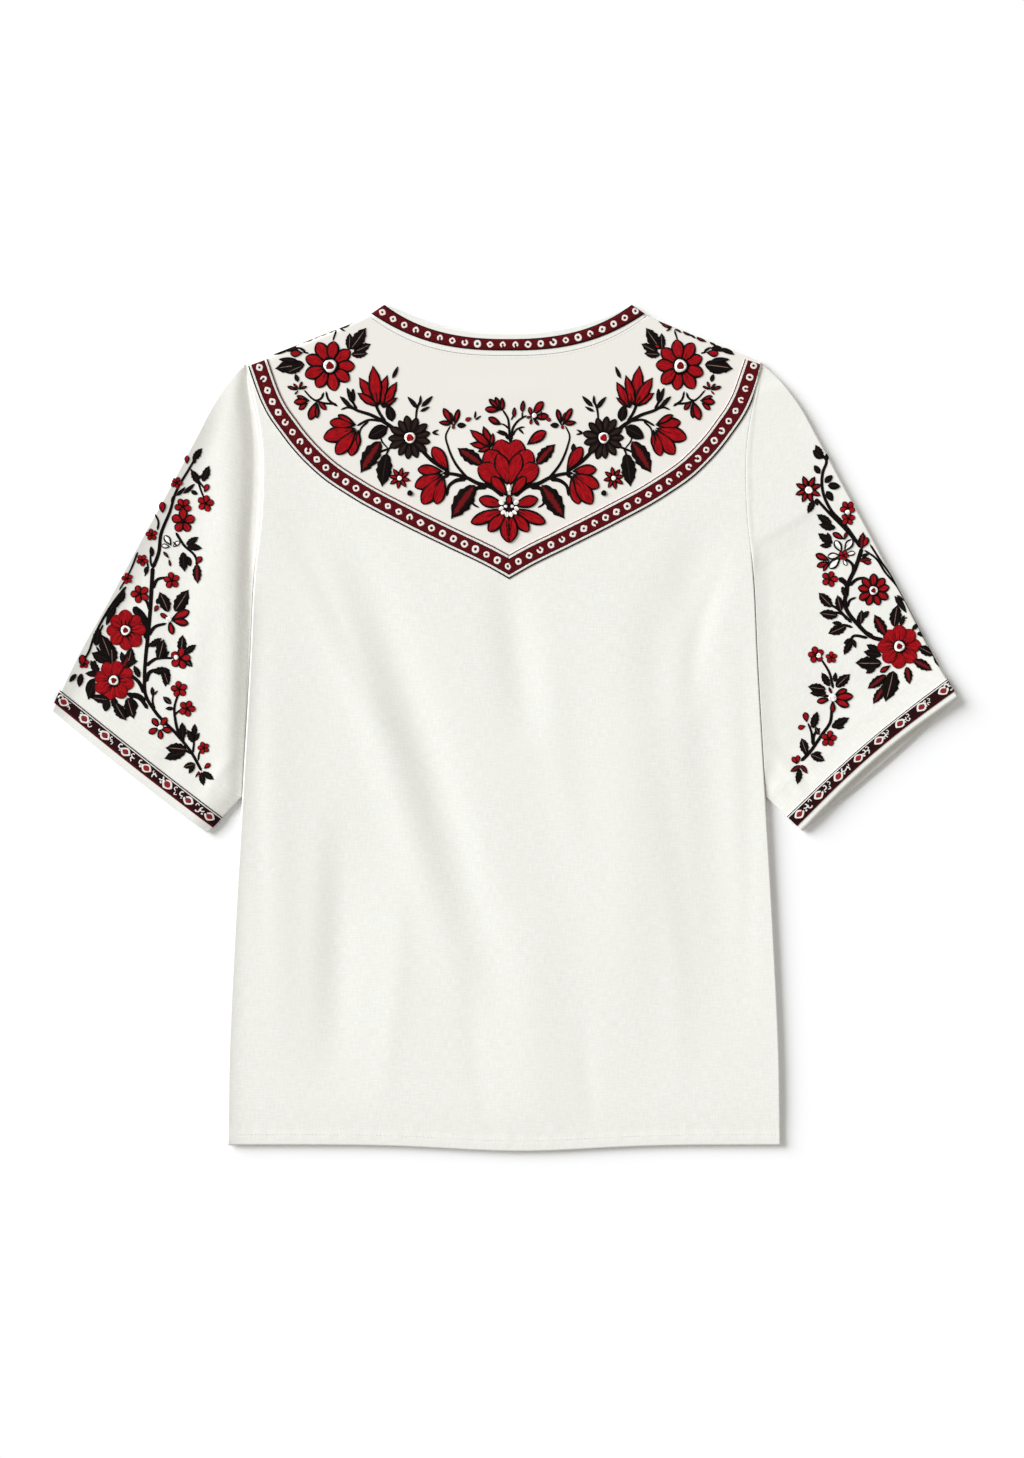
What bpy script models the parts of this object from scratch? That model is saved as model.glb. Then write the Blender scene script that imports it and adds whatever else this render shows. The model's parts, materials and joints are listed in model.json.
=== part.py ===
"""A short-sleeved blouse with a V neck, laid flat with its back up.

The hem points to -Y, the neck to +Y, and the garment rests on z = 0. The front panel lies on the
surface, the back panel lies on it, and each sleeve is one cloth folded along its outer edge.
Sizes are in millimetres in the tables and in metres in the meshes.
"""

import itertools
import math
from collections import namedtuple

import bmesh
import bpy
import numpy as np
from mathutils import Vector
from mathutils.bvhtree import BVHTree

MM = 0.001

# Cloth, in millimetres. STACK is the height of two layers where they are sewn together.
WALL = 1.4
SEAM_GAP = 0.3
STACK = 2 * WALL + SEAM_GAP
RISE = 3.4
SIDE_ROLL = 15.0
SHOULDER_ROLL = 22.0
HEM_ROLL = 45.0
HEM_SHARE = 0.4

# The body: half its width at each height, from the hem corner up the side seam and the armhole.
Section = namedtuple("Section", "height half_width")
SIDE = (
    Section(-362.5, 240.5),
    Section(-290.0, 239.5),
    Section(-180.0, 234.5),
    Section(-60.0, 227.5),
    Section(60.0, 220.5),
    Section(132.0, 217.0),
    Section(190.0, 211.0),
    Section(240.0, 210.5),
    Section(317.0, 224.0),
)
HEM_CORNER_Y = SIDE[0].height
SHOULDER_Y = SIDE[-1].height
SHOULDER_X = SIDE[-1].half_width
UNDERARM_Y = 132.0
HEM_DIP = 5.5
HEM_DIP_X = 14.0
HEM_DIP_WIDTH = 85.0
HEM_FOLD_STEP = 0.4

# The neck. Its middle lies a little to the right of the hem's middle, as the blouse was put down.
NECK_X = 3.5
NECK_HALF = 107.0
NECK_BOTTOM_Y = 342.8
NECK_RISE = 24.8
NECK_POWER = 2.2
BAND_HALF = 121.0
BAND_BOTTOM_Y = 322.8
BAND_RISE = 34.9
BAND_POWER = 2.69
NECK_COLUMN = 0.54
V_NECK_Y = 217.0
V_BAND_Y = 182.5
V_BOW = 5.0

# The ribbon round the neck, as shares of the band's width from its seam, and its thickness.
NECK_TRIM_FROM = 0.22
NECK_TRIM_TO = 0.72
TRIM_THICK = 0.6
TRIM_GAP = 0.3

# The sleeve's folded outer edge, from the shoulder down to where the cuff takes over.
Edge = namedtuple("Edge", "out height")
SLEEVE_FOLD = (
    Edge(229.7, 311.0),
    Edge(238.5, 302.5),
    Edge(252.0, 285.0),
    Edge(271.5, 250.0),
    Edge(290.0, 215.0),
    Edge(318.5, 163.0),
    Edge(346.0, 111.0),
    Edge(374.0, 58.7),
)
Cuff = namedtuple("Cuff", "fold_out fold_height seam_out seam_height bow overhang valley fuller")
CUFFS = {
    "left": Cuff(393.0, 15.5, 257.5, -91.5, 1.2, 0.0, 0.85, -2.2),
    "right": Cuff(394.5, 26.0, 259.5, -90.0, -5.5, 7.5, 0.35, 2.6),
}
SLEEVE_LEAVES_BODY_Y = -60.0
FOLD_RADIUS_TOP = STACK / 2
FOLD_RADIUS = 2.7
SLEEVE_ROLL = 19.0
VALLEY_WIDTH = 8.0
Valley = namedtuple("Valley", "height away depth")
VALLEY_LINE = (
    Valley(132.0, 4.0, 0.0),
    Valley(165.0, 10.0, 0.6),
    Valley(205.0, 17.0, 1.0),
    Valley(250.0, 17.0, 1.0),
    Valley(300.0, 14.0, 0.0),
)
VALLEY_COLUMNS = [
    ([v.height for v in VALLEY_LINE], [v.away for v in VALLEY_LINE]),
    ([v.height for v in VALLEY_LINE], [v.depth for v in VALLEY_LINE]),
]
SEAM_STRIP = 2.0

# The cuff ribbon, measured from the cuff's edge.
CUFF_MARGIN = 6.5
CUFF_TRIM_WIDTH = 12.5
CUFF_LIFT = TRIM_THICK + TRIM_GAP
CUFF_REACH = 60.0

# The ribbon round the yoke: half of its middle line, from the point at the centre to the shoulder.
YokePoint = namedtuple("YokePoint", "out height")
YOKE_LINE = (
    YokePoint(0.0, 139.5),
    YokePoint(12.0, 146.3),
    YokePoint(50.0, 165.0),
    YokePoint(92.0, 186.0),
    YokePoint(131.0, 207.5),
    YokePoint(161.0, 229.0),
    YokePoint(187.0, 258.0),
    YokePoint(205.5, 288.0),
    YokePoint(215.8, 317.0),
)
YOKE_X = 2.0
YOKE_TRIM_WIDTH = 19.0
YOKE_END_GAP = 1.0

# The largest folds of the back: soft ridges (+) and troughs (-), bowed sideways by bow.
Fold = namedtuple("Fold", "from_x from_y to_x to_y bow width height")
BACK_FOLDS = (
    Fold(-205.0, 250.0, -20.0, -190.0, -22.0, 34.0, -2.2),
    Fold(-150.0, 190.0, 60.0, -240.0, 26.0, 40.0, 1.5),
    Fold(-205.0, 130.0, -190.0, -300.0, 8.0, 26.0, 1.2),
    Fold(-120.0, -60.0, -150.0, -340.0, 6.0, 30.0, -1.4),
    Fold(0.0, 150.0, 22.0, -20.0, 0.0, 17.0, -1.5),
    Fold(190.0, 190.0, 130.0, 0.0, 12.0, 26.0, -1.6),
    Fold(150.0, 80.0, 205.0, -280.0, 14.0, 30.0, -1.5),
    Fold(110.0, 120.0, 90.0, -330.0, -12.0, 40.0, 1.4),
    Fold(20.0, -150.0, 30.0, -366.0, 0.0, 30.0, 1.2),
    Fold(-60.0, 250.0, 70.0, 240.0, 10.0, 22.0, 0.9),
)

# Where each piece has its rows and columns.
HEM_ROWS = (0.0, 9.5, 10.5)
SIDE_ROWS = (-330.0, -295.0, -260.0, -225.0, -190.0, -155.0, -120.0, -90.0)
SHARED_ROWS = (
    SLEEVE_LEAVES_BODY_Y, -20.0, 25.0, 70.0, 105.0, UNDERARM_Y, 146.0, 163.0,
    185.0, 207.0, 229.0, 251.0, 273.0, 291.0, 305.0, SHOULDER_Y,
)
HALF_COLUMNS = (0.09, 0.18, 0.27, 0.36, 0.45, 0.54, 0.62, 0.70, 0.78, 0.85, 0.90, 0.94, 0.972, 1.0)
FRONT_COLUMNS = (0.18, 0.36, 0.54, 0.78, 1.0)
SLEEVE_COLUMNS = (0.0, 0.04, 0.08, 0.12, 0.17, 0.24, 0.36, 0.5, 0.64, 0.78, 0.89, 1.0)
LOWER_COLUMNS = (0.75, 0.5, 0.25, 0.0)
FOLD_ARC_STEPS = 4
CUFF_TOP = CUFF_MARGIN + CUFF_TRIM_WIDTH
CUFF_ROWS = (CUFF_TOP + 12.0, CUFF_TOP, CUFF_MARGIN + CUFF_TRIM_WIDTH / 2, CUFF_MARGIN, 0.0)
CUFF_TRIM_ROWS = slice(-4, -1)
YOKE_STEPS = 44
YOKE_ACROSS = 4
CURVE_STEPS = 200
CELL_SAMPLES = (0.0, 0.25, 0.5, 0.75, 1.0)

CLOTH = ("linen", (0.90, 0.885, 0.85), 0.85)
RIBBON = ("woven_ribbon", (0.26, 0.02, 0.035), 0.7)


def curve_through(rows, at):
    """A smooth curve through rows of (place, value), read at the places in at."""
    place, value = np.array(rows, float).T
    slope = np.gradient(value, place)
    at = np.asarray(at, float)
    i = np.clip(np.searchsorted(place, at, side="right") - 1, 0, len(place) - 2)
    span = place[i + 1] - place[i]
    t = (at - place[i]) / span
    return (
        (2 * t**3 - 3 * t**2 + 1) * value[i]
        + (t**3 - 2 * t**2 + t) * span * slope[i]
        + (3 * t**2 - 2 * t**3) * value[i + 1]
        + (t**3 - t**2) * span * slope[i + 1]
    )


def roll(distance, reach):
    """The share of its full height that cloth has at a distance from its sewn edge."""
    return np.sin(0.5 * math.pi * np.clip(np.asarray(distance, float) / reach, 0, 1))


def half_width(y):
    return curve_through(SIDE, y)


def hem_y(x):
    return HEM_CORNER_Y - HEM_DIP * np.exp(-(((np.asarray(x) - HEM_DIP_X) / HEM_DIP_WIDTH) ** 2))


def neck_edge_y(out):
    """Height of the back neck's edge at a distance from its middle."""
    return NECK_BOTTOM_Y + NECK_RISE * (np.abs(out) / NECK_HALF) ** NECK_POWER


def band_seam_y(out):
    """Height of the seam under the back neck's band."""
    return BAND_BOTTOM_Y + BAND_RISE * (np.abs(out) / BAND_HALF) ** BAND_POWER


def v_line_y(out, half, top, bottom):
    """Height of a side of the front's V, bowed a little, at a distance from its middle."""
    share = np.abs(out) / half
    return bottom + (top - bottom) * share - V_BOW * np.sin(math.pi * share)


def back_outline_y(x):
    """The silhouette's top edge: neck, then the band's end, then the shoulder."""
    out = np.abs(np.asarray(x, float) - NECK_X)
    band_top = neck_edge_y(NECK_HALF)
    band_end = band_seam_y(BAND_HALF)
    shoulder_out = SHOULDER_X
    beyond = np.interp(out, (NECK_HALF, BAND_HALF, shoulder_out), (band_top, band_end, SHOULDER_Y))
    return np.where(out < NECK_HALF, neck_edge_y(out), beyond)


def armhole_lift(y):
    """How far the cloth stands up along the armhole, from 0 at its ends to 1."""
    length = SHOULDER_Y - UNDERARM_Y
    up = np.clip(np.asarray(y, float) - UNDERARM_Y, 0, length)
    return roll(up, 2 * SIDE_ROLL) * roll(length - up, 2 * SIDE_ROLL)


def folds_height(folds, x, y):
    """The sum of the soft ridges and troughs at each point."""
    total = np.zeros(np.shape(x))
    for f in folds:
        run = np.array((f.to_x - f.from_x, f.to_y - f.from_y))
        length = np.linalg.norm(run)
        run = run / length
        along = ((x - f.from_x) * run[0] + (y - f.from_y) * run[1]) / length
        fade = np.sin(math.pi * np.clip(along, 0, 1))
        across = (x - f.from_x) * run[1] - (y - f.from_y) * run[0] - f.bow * fade
        total += f.height * fade * np.exp(-((across / f.width) ** 2))
    return total


def back_height(x, y):
    """Height of the back's upper surface."""
    from_side = roll(half_width(np.clip(y, HEM_CORNER_Y, SHOULDER_Y)) - np.abs(x), SIDE_ROLL)
    lift = armhole_lift(y)
    from_side = from_side + (1 - from_side) * lift
    from_top = roll(back_outline_y(x) - y, SHOULDER_ROLL)
    from_hem = HEM_SHARE + (1 - HEM_SHARE) * roll(y - hem_y(x), HEM_ROLL)
    return STACK + from_side * from_top * from_hem * (RISE + folds_height(BACK_FOLDS, x, y))


def body_rows():
    """The rows of both panels: heights on the side seam and the armhole, from the hem up."""
    hem = [HEM_CORNER_Y + up for up in HEM_ROWS]
    return np.array(hem + list(SIDE_ROWS) + list(SHARED_ROWS))


def body_columns(half):
    return np.array([-c for c in reversed(half)] + [0.0] + list(half))


def body_plan(columns, neck_top_y):
    """Where a panel's points lie seen from above. neck_top_y gives the neck seam's height."""
    side_y = body_rows()
    up = (side_y - HEM_CORNER_Y) / (SHOULDER_Y - HEM_CORNER_Y)
    share = np.interp(np.abs(columns), (0, NECK_COLUMN, 1), (0, 0, 1))
    inside = np.interp(np.abs(columns), (0, NECK_COLUMN), (0, BAND_HALF))
    side = np.sign(columns)
    neck_x = NECK_X + side * inside
    top_x = neck_x + share * (side * SHOULDER_X - neck_x)
    top_y = neck_top_y(inside) + share * (SHOULDER_Y - band_seam_y(BAND_HALF))
    hem_x = columns * SIDE[0].half_width
    x = np.outer(half_width(side_y), columns) + np.outer(up, top_x - columns * SHOULDER_X)
    y = np.outer(1 - up, hem_y(hem_x)) + np.outer(up, top_y)
    # The hem's rows run parallel to its edge.
    for row, above in enumerate(HEM_ROWS):
        y[row] = hem_y(x[row]) + above
    return x, y


def points(x, y, z):
    return np.stack([x, y, np.broadcast_to(z, np.shape(x))], axis=-1)


def make_material(name, colour, roughness):
    material = bpy.data.materials.get(name) or bpy.data.materials.new(name)
    material.use_nodes = True
    shader = material.node_tree.nodes["Principled BSDF"]
    shader.inputs["Base Color"].default_value = (*colour, 1.0)
    shader.inputs["Roughness"].default_value = roughness
    shader.inputs["Metallic"].default_value = 0.0
    return material


def cloth(name, surface, wall, gap, finish, collection):
    """Cloth on a grid of points: the wall lies under the surface, or over it with a gap."""
    rows, columns = surface.shape[:2]
    bm = bmesh.new()
    verts = [[bm.verts.new(surface[i, j] * MM) for j in range(columns)] for i in range(rows)]
    for low, high in zip(verts, verts[1:]):
        for j in range(columns - 1):
            bm.faces.new((low[j], low[j + 1], high[j + 1], high[j]))
    mesh = bpy.data.meshes.new(name)
    bm.to_mesh(mesh)
    bm.free()
    mesh.shade_smooth()
    mesh.materials.append(make_material(*finish))
    obj = bpy.data.objects.new(name, mesh)
    collection.objects.link(obj)
    solid = obj.modifiers.new("wall", "SOLIDIFY")
    solid.thickness = wall * MM
    # Solidify's offset: -1 is all under the surface, 1 is all over it, and more leaves a gap.
    solid.offset = -1.0 if gap is None else 1.0 + 2.0 * gap / wall
    return obj


def linen(name, surface, collection):
    return cloth(name, surface, WALL, None, CLOTH, collection)


def ribbon(name, surface, collection):
    return cloth(name, surface, TRIM_THICK, TRIM_GAP, RIBBON, collection)


def back_panel(collection):
    x, y = body_plan(body_columns(HALF_COLUMNS), band_seam_y)
    z = back_height(x, y)
    z[: len(HEM_ROWS) - 1] += HEM_FOLD_STEP
    return linen("back_panel", points(x, y, z), collection)


def front_panel(collection):
    x, y = body_plan(
        body_columns(FRONT_COLUMNS),
        lambda out: v_line_y(out, BAND_HALF, band_seam_y(BAND_HALF), V_BAND_Y),
    )
    return linen("front_panel", points(x, y, WALL), collection)


def neck_strip(columns, seam_y, edge_y, shares):
    """Points of a strip between the band's seam and the neck's edge, at shares of its width."""
    share = np.array(shares)[:, None]
    side = np.sign(columns)
    step = np.abs(columns) / NECK_COLUMN
    seam_out, edge_out = step * BAND_HALF, step * NECK_HALF
    x = NECK_X + side * ((1 - share) * seam_out + share * edge_out)
    y = (1 - share) * (seam_y(seam_out) + SEAM_GAP) + share * edge_y(edge_out)
    return x, y


def neck_columns(half):
    return body_columns([c for c in half if c <= NECK_COLUMN])


def neck_band_back(collection):
    shares = (0.0, NECK_TRIM_FROM, NECK_TRIM_TO, 1.0)
    x, y = neck_strip(neck_columns(HALF_COLUMNS), band_seam_y, neck_edge_y, shares)
    return linen("neck_band_back", points(x, y, back_height(x, y)), collection)


def neck_trim(collection):
    """The ribbon on the neck band, made from the band's own points, moved out."""
    shares = (NECK_TRIM_FROM, NECK_TRIM_TO)
    x, y = neck_strip(neck_columns(HALF_COLUMNS), band_seam_y, neck_edge_y, shares)
    return ribbon("neck_trim", points(x, y, back_height(x, y)), collection)


def neck_band_front(collection):
    columns = neck_columns(FRONT_COLUMNS)
    x, y = neck_strip(
        columns,
        lambda out: v_line_y(out, BAND_HALF, band_seam_y(BAND_HALF), V_BAND_Y),
        lambda out: v_line_y(out, NECK_HALF, neck_edge_y(NECK_HALF), V_NECK_Y),
        (0.0, 1.0),
    )
    return linen("neck_band_front", points(x, y, WALL), collection)


def yoke_line(steps):
    """The middle line of the yoke's ribbon, evenly spaced from the left shoulder to the right."""
    fine = np.linspace(0, YOKE_LINE[-1].out, CURVE_STEPS)
    height = curve_through(YOKE_LINE, fine)
    along = np.concatenate([[0], np.cumsum(np.hypot(np.diff(fine), np.diff(height)))])
    at = np.linspace(0, along[-1], steps // 2 + 1)
    out, height = np.interp(at, along, fine), np.interp(at, along, height)
    x = np.concatenate([-out[:0:-1], out])
    return x, np.concatenate([height[:0:-1], height])


def yoke_plan():
    """Where the yoke ribbon's points lie seen from above, mitred at the point of the V."""
    x, y = yoke_line(YOKE_STEPS)
    run = np.stack([np.diff(x), np.diff(y)], axis=1)
    run /= np.linalg.norm(run, axis=1)[:, None]
    before, after = np.vstack([run[:1], run]), np.vstack([run, run[-1:]])
    side = np.stack([-(before + after)[:, 1], (before + after)[:, 0]], axis=1)
    side /= np.linalg.norm(side, axis=1)[:, None]
    normal = np.stack([-after[:, 1], after[:, 0]], axis=1)
    mitre = 1 / np.sum(side * normal, axis=1)
    across = np.linspace(-0.5, 0.5, YOKE_ACROSS + 1)[:, None] * YOKE_TRIM_WIDTH * mitre
    return YOKE_X + x + across * side[:, 0], y + across * side[:, 1]


def height_on(panel, x, y):
    """Height of a finished panel's upper face under each point, in millimetres."""
    mesh = panel.data
    tree = BVHTree.FromPolygons(
        [v.co for v in mesh.vertices], [tuple(p.vertices) for p in mesh.polygons]
    )
    above, down = 100 * MM, Vector((0, 0, -1))
    z = np.zeros(x.shape)
    for place in np.ndindex(x.shape):
        hit = tree.ray_cast(Vector((x[place] * MM, y[place] * MM, above)), down)[0]
        near = hit or tree.find_nearest(Vector((x[place] * MM, y[place] * MM, STACK * MM)))[0]
        z[place] = near.z / MM
    return z


def clear_height_on(panel, x, y):
    """Heights for a grid of points, raised so that no cell between them dips into the panel."""
    z = height_on(panel, x, y)
    rise = np.zeros(z.shape)
    corners = [(slice(None, -1), slice(None, -1)), (slice(None, -1), slice(1, None))]
    corners += [(slice(1, None), slice(None, -1)), (slice(1, None), slice(1, None))]
    for a, b in itertools.product(CELL_SAMPLES, CELL_SAMPLES):
        share = ((1 - a) * (1 - b), (1 - a) * b, a * (1 - b), a * b)
        between = [sum(w * grid[c] for w, c in zip(share, corners)) for grid in (x, y, z)]
        excess = height_on(panel, between[0], between[1]) - between[2]
        for c in corners:
            rise[c] = np.maximum(rise[c], excess)
    return z + rise


def yoke_trim(collection, panel):
    """The ribbon on the back panel, made from the panel's own face, moved out."""
    x, y = yoke_plan()
    y = np.minimum(y, back_outline_y(x) - YOKE_END_GAP)
    x = np.clip(x, -half_width(y) + YOKE_END_GAP, half_width(y) - YOKE_END_GAP)
    return ribbon("yoke_trim", points(x, y, clear_height_on(panel, x, y)), collection)


def lengths_along(line):
    steps = np.linalg.norm(np.diff(line, axis=0), axis=1)
    return np.concatenate([[0.0], np.cumsum(steps)])


def sleeve_rows(cuff):
    """Each row of a sleeve: where it starts at the body and where it ends at the outer fold."""
    # Below the armhole the sleeve lies beside the body, a little further off.
    beside = [
        (float(half_width(y)) + SEAM_GAP * (2 if y < UNDERARM_Y else 1), y)
        for y in reversed(SHARED_ROWS)
    ]
    end = np.array((cuff.seam_out, cuff.seam_height))
    toward = end - np.array(beside[-1])
    toward /= np.linalg.norm(toward)
    inner = np.array(beside + [end - toward * up for up in CUFF_ROWS])
    fold = np.array([tuple(e) for e in SLEEVE_FOLD] + [(cuff.fold_out, cuff.fold_height)])
    fold[:, 0] += cuff.fuller * np.sin(np.linspace(0, math.pi, len(fold)))
    down, along = lengths_along(fold), lengths_along(inner)
    at = along / along[-1] * down[-1]
    at[-len(CUFF_ROWS) :] = down[-1] - np.array(CUFF_ROWS)
    outer = [curve_through(np.column_stack([down, fold[:, axis]]), at) for axis in range(2)]
    return inner, np.column_stack(outer), at


def sleeve_section(start, end, at, length, cuff):
    """One row of a sleeve's outside, from its seam over the fold and back under to the seam."""
    width = np.linalg.norm(end - start)
    direction = (end - start) / width
    to_body = np.array((direction[1], -direction[0]))
    near_cuff = np.clip(1 - (length - at) / CUFF_REACH, 0, 1)
    low = CUFF_LIFT * near_cuff * near_cuff * (3 - 2 * near_cuff)
    radius = np.interp(at, (0, CUFF_REACH), (FOLD_RADIUS_TOP, FOLD_RADIUS))
    flat = width - radius
    height_here = start[1]
    r = np.concatenate([[0.0], SEAM_STRIP + np.array(SLEEVE_COLUMNS) * (flat - SEAM_STRIP)])
    seam = armhole_lift(height_here) * RISE
    body = seam + (RISE - seam) * roll(r - SEAM_STRIP, SLEEVE_ROLL)
    away, depth = (np.interp(height_here, *column) for column in VALLEY_COLUMNS)
    dip = np.exp(-(((r - away) / VALLEY_WIDTH) ** 2)) * roll(r - SEAM_STRIP, VALLEY_WIDTH)
    body = body * (1 - cuff.valley * depth * dip)
    at_fold = 2 * radius - STACK
    top = STACK + at_fold + (body - at_fold) * roll(flat - r, SLEEVE_ROLL)
    top[:2] = STACK + seam
    turn = np.linspace(0.5 * math.pi, -0.5 * math.pi, FOLD_ARC_STEPS + 1)[1:-1]
    under = np.concatenate([[flat], np.array(LOWER_COLUMNS) * flat])
    out = np.concatenate([r, flat + radius * np.cos(turn), under])
    z = np.concatenate([top, radius + radius * np.sin(turn), np.zeros(len(under))]) + low
    # Towards the cuff the row bows, and the lower layer can reach past the upper one.
    bulge = np.sin(math.pi * np.clip(out / width, 0, 1))
    beyond = cuff.bow * near_cuff * bulge
    lower = len(r) + len(turn)
    beyond[lower:] += cuff.overhang * near_cuff**2 * bulge[lower:]
    return np.column_stack([start + np.outer(out, direction) + np.outer(beyond, to_body), z])


def sleeve_surface(side):
    """The sleeve's outside, its rows running from the shoulder to the cuff."""
    cuff = CUFFS[side]
    inner_edge, outer_edge, at = sleeve_rows(cuff)
    rows = zip(inner_edge, outer_edge, at)
    surface = np.array([sleeve_section(start, end, place, at[-1], cuff) for start, end, place in rows])
    return surface * (-1.0 if side == "left" else 1.0, 1.0, 1.0)


def outside_up(side, surface):
    """The rows in the order that turns the outside of either sleeve up."""
    return surface if side == "left" else surface[::-1]


def sleeve(side, collection):
    return linen("sleeve_" + side, outside_up(side, sleeve_surface(side)), collection)


def cuff_trim(side, collection):
    """The ribbon round a cuff, made from the sleeve's own points, moved out."""
    rows = sleeve_surface(side)[CUFF_TRIM_ROWS]
    return ribbon("cuff_trim_" + side, outside_up(side, rows), collection)


def build():
    for old in list(bpy.data.objects):
        bpy.data.objects.remove(old)
    collection = bpy.data.collections.new("Blouse")
    bpy.context.scene.collection.children.link(collection)
    root = bpy.data.objects.new("blouse", None)
    collection.objects.link(root)
    back = back_panel(collection)
    pieces = [
        back,
        front_panel(collection),
        neck_band_back(collection),
        neck_band_front(collection),
        neck_trim(collection),
        yoke_trim(collection, back),
    ]
    for side in CUFFS:
        pieces.append(sleeve(side, collection))
        pieces.append(cuff_trim(side, collection))
    for piece in pieces:
        piece.parent = root


build()
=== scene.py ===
"""A blouse of linen with woven ribbons and satin-stitch flowers, laid flat with its back up.

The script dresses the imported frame: each cloth solid is replaced by a thin shell with its creases,
and the ribbons, the embroidery and the sewing are laid on the shells. Tables are in millimetres.
"""

import json
import math
from collections import namedtuple

import bmesh
import bpy
import numpy as np
from bpy.props import FloatProperty, FloatVectorProperty, PointerProperty
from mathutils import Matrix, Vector

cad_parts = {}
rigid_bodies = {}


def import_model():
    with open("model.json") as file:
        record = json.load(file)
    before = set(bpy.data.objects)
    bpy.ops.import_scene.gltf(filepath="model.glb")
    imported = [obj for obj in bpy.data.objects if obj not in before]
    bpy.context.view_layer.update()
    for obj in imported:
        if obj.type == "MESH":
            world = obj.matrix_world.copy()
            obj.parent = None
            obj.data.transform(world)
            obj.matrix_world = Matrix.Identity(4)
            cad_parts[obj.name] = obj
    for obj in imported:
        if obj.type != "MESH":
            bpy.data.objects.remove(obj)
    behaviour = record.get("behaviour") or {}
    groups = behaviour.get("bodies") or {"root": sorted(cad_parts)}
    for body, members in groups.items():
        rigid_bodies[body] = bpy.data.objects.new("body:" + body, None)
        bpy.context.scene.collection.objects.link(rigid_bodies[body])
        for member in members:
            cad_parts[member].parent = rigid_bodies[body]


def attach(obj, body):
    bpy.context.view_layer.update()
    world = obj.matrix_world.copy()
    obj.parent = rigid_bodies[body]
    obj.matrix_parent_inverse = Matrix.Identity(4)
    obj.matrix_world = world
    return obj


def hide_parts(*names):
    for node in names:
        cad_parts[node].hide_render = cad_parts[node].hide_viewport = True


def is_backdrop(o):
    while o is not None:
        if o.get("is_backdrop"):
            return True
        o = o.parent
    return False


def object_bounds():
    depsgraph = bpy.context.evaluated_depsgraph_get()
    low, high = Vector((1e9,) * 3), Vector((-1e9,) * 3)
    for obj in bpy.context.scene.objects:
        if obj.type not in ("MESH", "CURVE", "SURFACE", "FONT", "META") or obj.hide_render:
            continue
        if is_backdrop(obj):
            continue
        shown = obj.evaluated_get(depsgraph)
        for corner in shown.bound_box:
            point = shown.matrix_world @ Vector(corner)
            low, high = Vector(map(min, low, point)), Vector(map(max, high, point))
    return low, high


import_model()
CAD_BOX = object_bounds()

bl_info = {
    "name": "Embroidered blouse",
    "version": (1, 0, 0),
    "blender": (4, 5, 0),
    "location": "3D View > Sidebar > Blouse",
    "description": "Dresses the blouse's frame in linen, ribbons and embroidery",
    "category": "Object",
}

MM = 0.001

# The solids' cloth, and how the shells on it round off: a roll is how far the cloth takes to rise.
WALL = 1.4
SEAM_GAP = 0.3
STACK = 2 * WALL + SEAM_GAP
RISE = 3.4
SIDE_ROLL = 15.0
SHOULDER_ROLL = 3.0
NECK_ROLL = 0.9
HEM_ROLL = 45.0
HEM_SHARE = 0.6
HEM_FOLD_STEP = 0.4
HEM_DEPTH = 10.0
HEM_STEP_REACH = 0.5
HEM_EDGE_REACH = 1.2
HEM_EDGE_DEPTH = 0.5

# The body: half its width at each height, from the hem corner up the side seam and the armhole.
Section = namedtuple("Section", "height half_width")
SIDE = (
    Section(-362.5, 240.5),
    Section(-290.0, 239.5),
    Section(-180.0, 234.5),
    Section(-60.0, 227.5),
    Section(60.0, 220.5),
    Section(132.0, 217.0),
    Section(190.0, 211.0),
    Section(240.0, 210.5),
    Section(317.0, 224.0),
)
HEM_CORNER_Y = SIDE[0].height
SHOULDER_Y = SIDE[-1].height
SHOULDER_X = SIDE[-1].half_width
UNDERARM_Y = 132.0
HEM_DIP = 5.5
HEM_DIP_X = 14.0
HEM_DIP_WIDTH = 85.0

# The neck, its band and the ribbon on the band.
NECK_X = 3.5
NECK_HALF = 107.0
NECK_BOTTOM_Y = 342.8
NECK_RISE = 24.8
NECK_POWER = 2.2
BAND_HALF = 121.0
BAND_BOTTOM_Y = 322.8
BAND_RISE = 34.9
BAND_POWER = 2.69
NECK_COLUMN = 0.54
V_NECK_Y = 217.0
V_BAND_Y = 182.5
V_BOW = 5.0
NECK_TRIM_FROM = 0.22
NECK_TRIM_TO = 0.72
NECK_TRIM_END_FROM = 0.16
NECK_TRIM_END_TO = 0.96

# The sleeves.
Edge = namedtuple("Edge", "out height")
SLEEVE_FOLD = (
    Edge(229.7, 311.0),
    Edge(238.5, 302.5),
    Edge(252.0, 285.0),
    Edge(271.5, 250.0),
    Edge(290.0, 215.0),
    Edge(318.5, 163.0),
    Edge(346.0, 111.0),
    Edge(374.0, 58.7),
)
# How much of its height the cloth keeps along the seam of each armhole.
LEFT_ARMHOLE_SHARE = 0.0
RIGHT_ARMHOLE_SHARE = 1.0
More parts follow.
